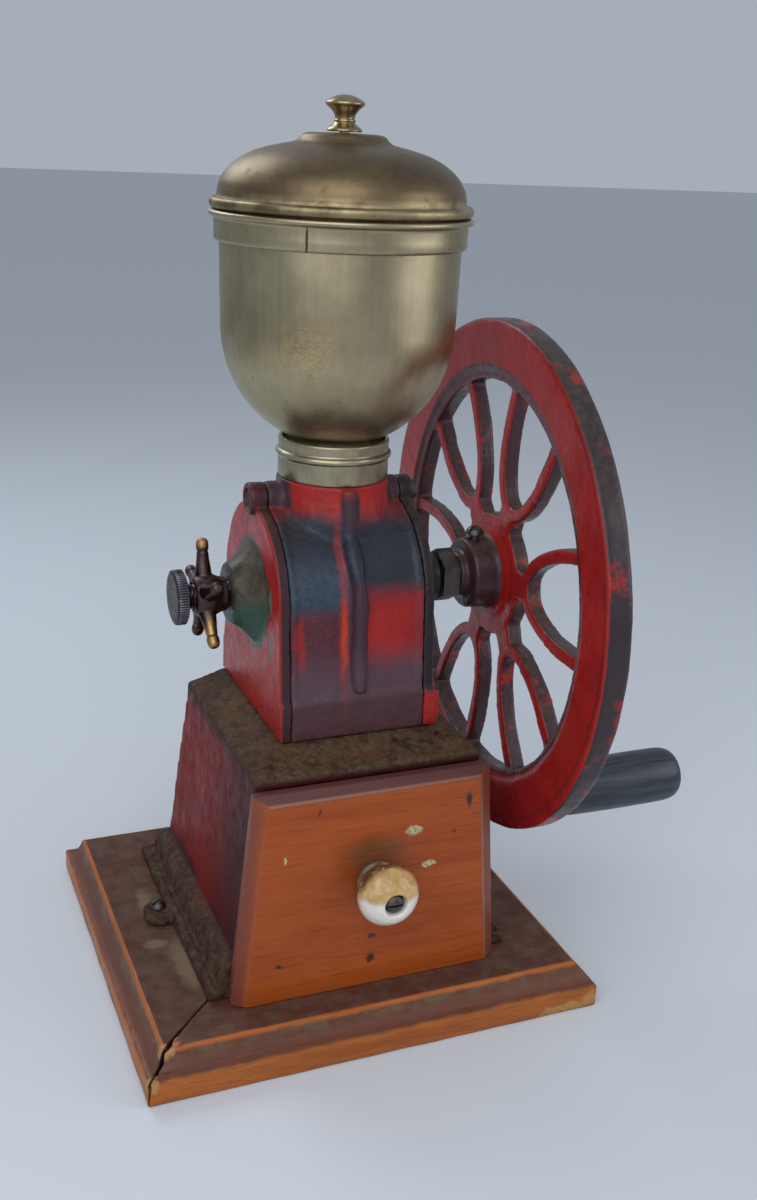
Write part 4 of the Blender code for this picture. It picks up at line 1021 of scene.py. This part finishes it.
def build_adjuster():
    profile = [(0, -35.0), (4.4, -35.0)]
    profile += [(THREAD_RADIUS, height) for height in reversed(np.arange(-58.4, -35.3, 0.3))]
    profile += [(THREAD_RADIUS, -58.6), (9.9, -58.6)]
    profile += [(KNURL_RADIUS, height) for height in (-59.1, -59.2, -61.0, -62.5)]
    profile += run((10.7, -62.7), (9.9, -63.2), (8.6, -63.4), (4, -63.3), (0, -63.2), per=4)
    screw = lathe("knurled_screw", profile, ON_AXLE, "X", 256, shape=screw_teeth)
    dark = finish_metal("screw_steel", (0.10, 0.074, 0.078), (0.050, 0.034, 0.038), 0.36, 3, knurl_glints,
                        (0.24, 0.26, 0.32))
    finish(screw, "adjuster", dark, "dark_steel", "adjusting_screw", sharp=30)

    profile = [(0, 0), (6.8, 0)]
    profile += run((7.0, -0.4), (7.2, -2.4), (8.2, -4.6), (8.8, -6.4), (8.8, -9.6), (8.0, -11.6),
                   (7.4, -12.6), per=3)
    parts = [lathe("star", profile + [(6.9, -13), (0, -13)], (-42.1, 0, AXLE_Z), "X", 64)]
    profile = [(0, 5.0), (3.6, 5.0)] + run((3.5, 7.5), (3.1, 10.5), (2.6, 14.0), (2.3, 17.4), per=4)
    profile += [(2.0, 17.8), (2.0, 18.1)]
    profile += run((2.45, 18.5), (2.5, 20.0), (2.3, 21.6), (1.5, 22.7), (0, 23.0), per=4)
    for number in range(5):
        arm = lathe("arm", profile, (-50.5, 0, AXLE_Z), "Z", 32)
        parts.append(turned_about_axle(arm, number * 72 - 8))
    star = merge("star_nut", *parts)
    cut(star, rod("bore", 5.5, -58, -40, ON_AXLE, "X"))
    bronze = finish_metal("star_bronze", (0.115, 0.072, 0.066), (0.060, 0.036, 0.038), 0.34, 4, rubbed_star,
                          (0.46, 0.27, 0.11))
    cast_iron(star, 0.36, 3, ((4, 0.12),), "lock_nut", bronze, "bronze", "star_lock_nut")


# ---------------------------------------------------------------- hopper
def soft_dents(depth):
    def shape(radius, angle, height):
        at = Vector((math.cos(angle) * 1.6, math.sin(angle) * 1.6, height * 0.03))
        return radius + depth * noise.noise(at) * min(1.0, radius / 20)
    return shape


def bowl_arc(offset, count=26):
    """The bowl's round bottom, from its widest place down to the neck, offset to the inside."""
    across, down = 45.1 - offset, 46.6 - offset
    neck = math.acos(21.0 / 45.1)
    turns = [neck * i / count for i in range(count + 1)]
    return [(across * math.cos(turn), 272 - down * math.sin(turn)) for turn in turns]


def build_collar():
    collar = [(20.4, 228.8), (21.4, 228.8)]
    collar += run((21.8, 228.4), (21.9, 227.5), (21.7, 225.4), (21.8, 224.4), (22.6, 223.6), (22.9, 222.7),
                  (22.6, 221.8), (21.9, 221.1), (21.9, 219.5), per=4)
    collar += [(21.9, 214.4), (21.6, 213.4), (19.7, 213.4), (19.7, 226.0)]
    made = lathe("collar", collar, UNDER_HOPPER, steps=160, ring=True, shape=soft_dents(0.15))
    finish(made, "frame", finish_collar(), "brass", "hopper_collar", sharp=50)


def build_bowl():
    outside = [(45.7 - (310.5 - z) * 0.0155, z) for z in (310.5, 305, 296, 287, 278)] + bowl_arc(0)
    outside += [(19.9, 230.3), (19.4, 229.8), (19.3, 228.8), (19.3, 222.5)]
    inside = [(18.1, 222.5), (18.1, 230.0)] + list(reversed(bowl_arc(1.1))) + [(44.6, 290), (44.6, 310.5)]
    bowl = lathe("bowl", outside + inside, UNDER_HOPPER, steps=192, ring=True, shape=soft_dents(0.35))
    finish(bowl, "frame", finish_bowl(), "brass", "hopper_bowl", sharp=50)
    band = [(46.0, 313.2)]
    band += run((48.2, 313.3), (49.2, 312.9), (49.6, 312.1), (49.2, 311.2), (48.2, 310.8), (47.7, 310.3),
                per=4)
    band += [(47.6, 309.6), (47.5, 306), (47.6, 303.4), (47.3, 302.5), (46.7, 302.1), (46.05, 302.0)]
    made = lathe("rim_band", band, UNDER_HOPPER, steps=192, ring=True, shape=soft_dents(0.25))
    finish(made, "frame", finish_bowl(), "brass", "hopper_rim_band", sharp=50)


def build_lid():
    dome = run((2.2, 341.4), (9, 341.3), (13.4, 341.1), (15.4, 340.4), (16.7, 339.0), (18.4, 337.9),
               (20.8, 337.3), (25, 336.4), (31.5, 334.6), (37.3, 331.9), (42.2, 328.1), (45.2, 323.8),
               (46.2, 320.4), (46.4, 318.4), per=5)
    rim = run((46.9, 317.6), (48.2, 317.4), (49.0, 316.7), (49.2, 315.6), (48.9, 314.4), (48.0, 313.7), per=4)
    skirt = [(44.2, 313.7), (44.0, 306.0), (43.1, 306.0), (43.3, 314.6), (45.2, 318.4)]
    under = run((45.0, 320.6), (43.9, 323.6), (41.0, 327.4), (36.4, 330.8), (30.6, 333.5), (24.6, 335.2),
                (18.8, 336.2), (15.4, 336.8), (12.6, 339.6), (10.5, 340.3), (2.2, 340.3), per=3)
    profile = dome + rim + skirt + under
    lid = lathe("lid", profile, UNDER_HOPPER, steps=192, ring=True, shape=soft_dents(0.35))
    finish(lid, "lid", finish_lid(), "brass", "hopper_lid", sharp=50)
    knob = run((0, 354.6), (2.2, 354.4), (4.6, 353.6), (6.4, 352.6), (7.2, 351.9), (7.2, 351.2), (6.6, 350.5),
               (5.2, 349.3), (4.1, 347.9), (3.6, 346.6), per=5)
    knob += run((3.6, 346.2), (3.9, 345.9), (4.0, 345.5), (3.8, 345.1), per=4)
    knob += run((4.0, 344.7), (4.9, 343.9), (5.9, 343.2), (6.5, 342.4), (6.4, 341.8), per=4)
    knob += [(1.9, 341.9), (1.9, 335.0), (0, 335.0)]
    made = lathe("lid_handle", knob, UNDER_HOPPER, steps=72)
    finish(made, "lid", finish_knob_brass(), "brass", "lid_knob", sharp=45)


# ---------------------------------------------------------------- wheel
WEB = (75.6, 82.4)
WHEEL_TURN = -8
GRIP_SHIFT = -1.8


def tulip(half, length):
    """The rounded end of a pair of arms, seen along the axle."""
    turns = np.linspace(math.pi / 2, 3 * math.pi / 2, 49)
    return [(83.8 + length * math.cos(turn), half * math.sin(turn)) for turn in turns]


def out_of_true(wheel):
    """The rim and arms sit a little skewed and low on the hub, as the worn casting does."""
    for vertex in wheel.data.vertices:
        y, z = vertex.co.y / MM, vertex.co.z / MM - AXLE_Z
        share = min(max((math.hypot(y, z) - 17) / 16, 0.0), 1.0)
        vertex.co.x += 0.045 * share * y * MM
        vertex.co.z -= 2.2 * share * MM


def build_wheel():
    rim = [(107.4, 83.5)] + run((108.2, 83.3), (108.8, 82.6), (108.9, 81.6), per=3)
    rim += [(108.9, 78), (108.9, 74.6)] + run((108.8, 73.6), (108.2, 72.9), (107.3, 72.6), per=3)
    rim += [(88.6, 72.6), (88.2, 73.0), (88.0, 73.9), (84.4, 74.0), (83.8, 74.6), (83.8, 81.5), (84.4, 82.1),
            (88.0, 82.2), (88.2, 83.1), (88.6, 83.5)]
    parts = [lathe("rim", rim, ON_AXLE, "X", 288, ring=True)]
    loop = [(100, 23.5)] + tulip(23.5, 52.3) + [(100, -23.5), (100, -17.5)]
    loop += list(reversed(tulip(17.5, 46.3))) + [(100, 17.5)]
    loop = [(-u, v) for u, v in loop]
    stalk = [(-18, -6.4), (-18, 6.4), (-33.4, 6.0), (-33.4, -6.0)]
    for number in range(6):
        turn = WHEEL_TURN - number * 60
        for name, outline in (("arms", loop), ("stub", stalk)):
            parts.append(turned_about_axle(prism(name, outline, *WEB, ON_AXLE), turn))
    hub = [(0, 82.8), (25.6, 82.8), (26.4, 82.0), (26.4, 76.0), (25.6, 75.3), (19.6, 75.3), (19.2, 74.4)]
    hub += run((17.4, 74.3), (16.2, 73.8), (15.4, 72.6), (15.2, 71), per=4)
    hub += [(15.0, 63.2), (14.2, 62.1), (9.6, 62.0), (9.4, 58.6), (9.0, 58.2), (0, 58.2)]
    parts.append(lathe("hub", hub, ON_AXLE, "X", 96))
    wheel = merge("wheel", *parts)
    cut(wheel,
        rod("bore", 5.4, 56, 85, ON_AXLE, "X"),
        rod("hole", 2.4, 166, 184, (SET_SCREW_X, 0, 0), steps=24),
        rod("hole", 3.3, 75, 85, (0, GRIP_Y, GRIP_Z), "X", 32))
    out_of_true(wheel)
    cast_iron(wheel, 0.85, 4, ((14, 0.25), (3, 0.08)), "rotor", finish_wheel(), "iron_red", "flywheel")


def build_handle():
    at = (GRIP_SHIFT, GRIP_Y, GRIP_Z)
    grip = [(3.3, 85.5), (8.4, 85.5)]
    grip += run((9.2, 85.8), (9.9, 86.8), (10.6, 89), (11.1, 94), (11.5, 104), (11.7, 118), (11.7, 134),
                (11.6, 142), (11.2, 145.4), (10.2, 147.8), (8.8, 148.8), (7.4, 149), per=5)
    grip += [(3.3, 149)]
    made = lathe("grip", grip, at, "X", 128, ring=True, shape=soft_dents(0.1))
    finish(made, "grip", finish_grip(), "grip_black", "handle_grip", sharp=50)
    spindle = run((0, 151.0), (2.0, 150.9), (3.8, 150.4), (4.7, 149.8), (4.7, 149.4), per=4)
    spindle += [(3.0, 149.4), (3.0, 75.6), (0, 75.6)]
    made = lathe("spindle", spindle, at, "X", 48)
    steel = finish_metal("spindle_steel", (0.26, 0.26, 0.28), (0.12, 0.12, 0.13), 0.4, 3)
    finish(made, "rotor", steel, "dark_steel", "handle_spindle", sharp=35)


# ---------------------------------------------------------------- screws and what stays as in the CAD
def build_screws(dark):
    for side, (x, y) in zip(("left", "right"), LUGS):
        slotted("lug_screw_" + side, (x, y, 23.3), "Z", 3.4, 1.8, 3.9, dark, "base_screw_" + side, "frame",
                "steel")
    slotted("knob_screw", (KNOB_X, -86.1, KNOB_Z), "-Y", 4.0, 2.0, 30.3, dark, "drawer_knob_screw", "drawer",
            "dark_steel", 2.2)
    slotted("set_screw", (SET_SCREW_X, 0, AXLE_Z + 17.2), "Z", 4.0, 2.1, 11.7, dark, "hub_set_screw", "rotor",
            "dark_steel", 3.2)
    profile = [(0, -32.6), (3.3, -32.6), (3.8, -32.2), (3.8, -31.3), (2.05, -31.3), (2.05, -22.0), (0, -22.0)]
    bolt = lathe("ear_bolt", profile, AT_EARS, "X", 40)
    rust = finish_metal("ear_bolt_rust", (0.16, 0.07, 0.065), (0.07, 0.035, 0.035), 0.5)
    finish(bolt, "frame", rust, "dark_steel", "left_cover_bolt", sharp=35)


def paint_nodes(paint, *names):
    for name in names:
        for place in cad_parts[name].material_slots:
            place.material = paint


build_studio()
build_base()
build_box()
build_drawer()
build_housing()
build_covers()
build_adjuster()
build_collar()
build_bowl()
build_lid()
build_wheel()
build_handle()
worn_steel = finish_metal("worn_steel", (0.36, 0.34, 0.32), (0.16, 0.14, 0.13), 0.36)
dark_steel = finish_metal("dark_steel_look", (0.16, 0.14, 0.13), (0.07, 0.06, 0.055), 0.42)
build_screws(dark_steel)
paint_nodes(worn_steel, "main_shaft", "burr_pin", "return_spring", "thrust_ball", "housing_screw_front",
            "housing_screw_back", "drawer_knob_nut")
paint_nodes(dark_steel, "inner_burr", "outer_burr", "hub_lock_nut", "right_cover_bolt")
paint_nodes(finish_metal("bush_bronze", (0.42, 0.30, 0.15), (0.22, 0.14, 0.07), 0.4), "bearing_bush",
            "lid_knob_nut")
paint_nodes(finish_bare_wood(), "base_panel")
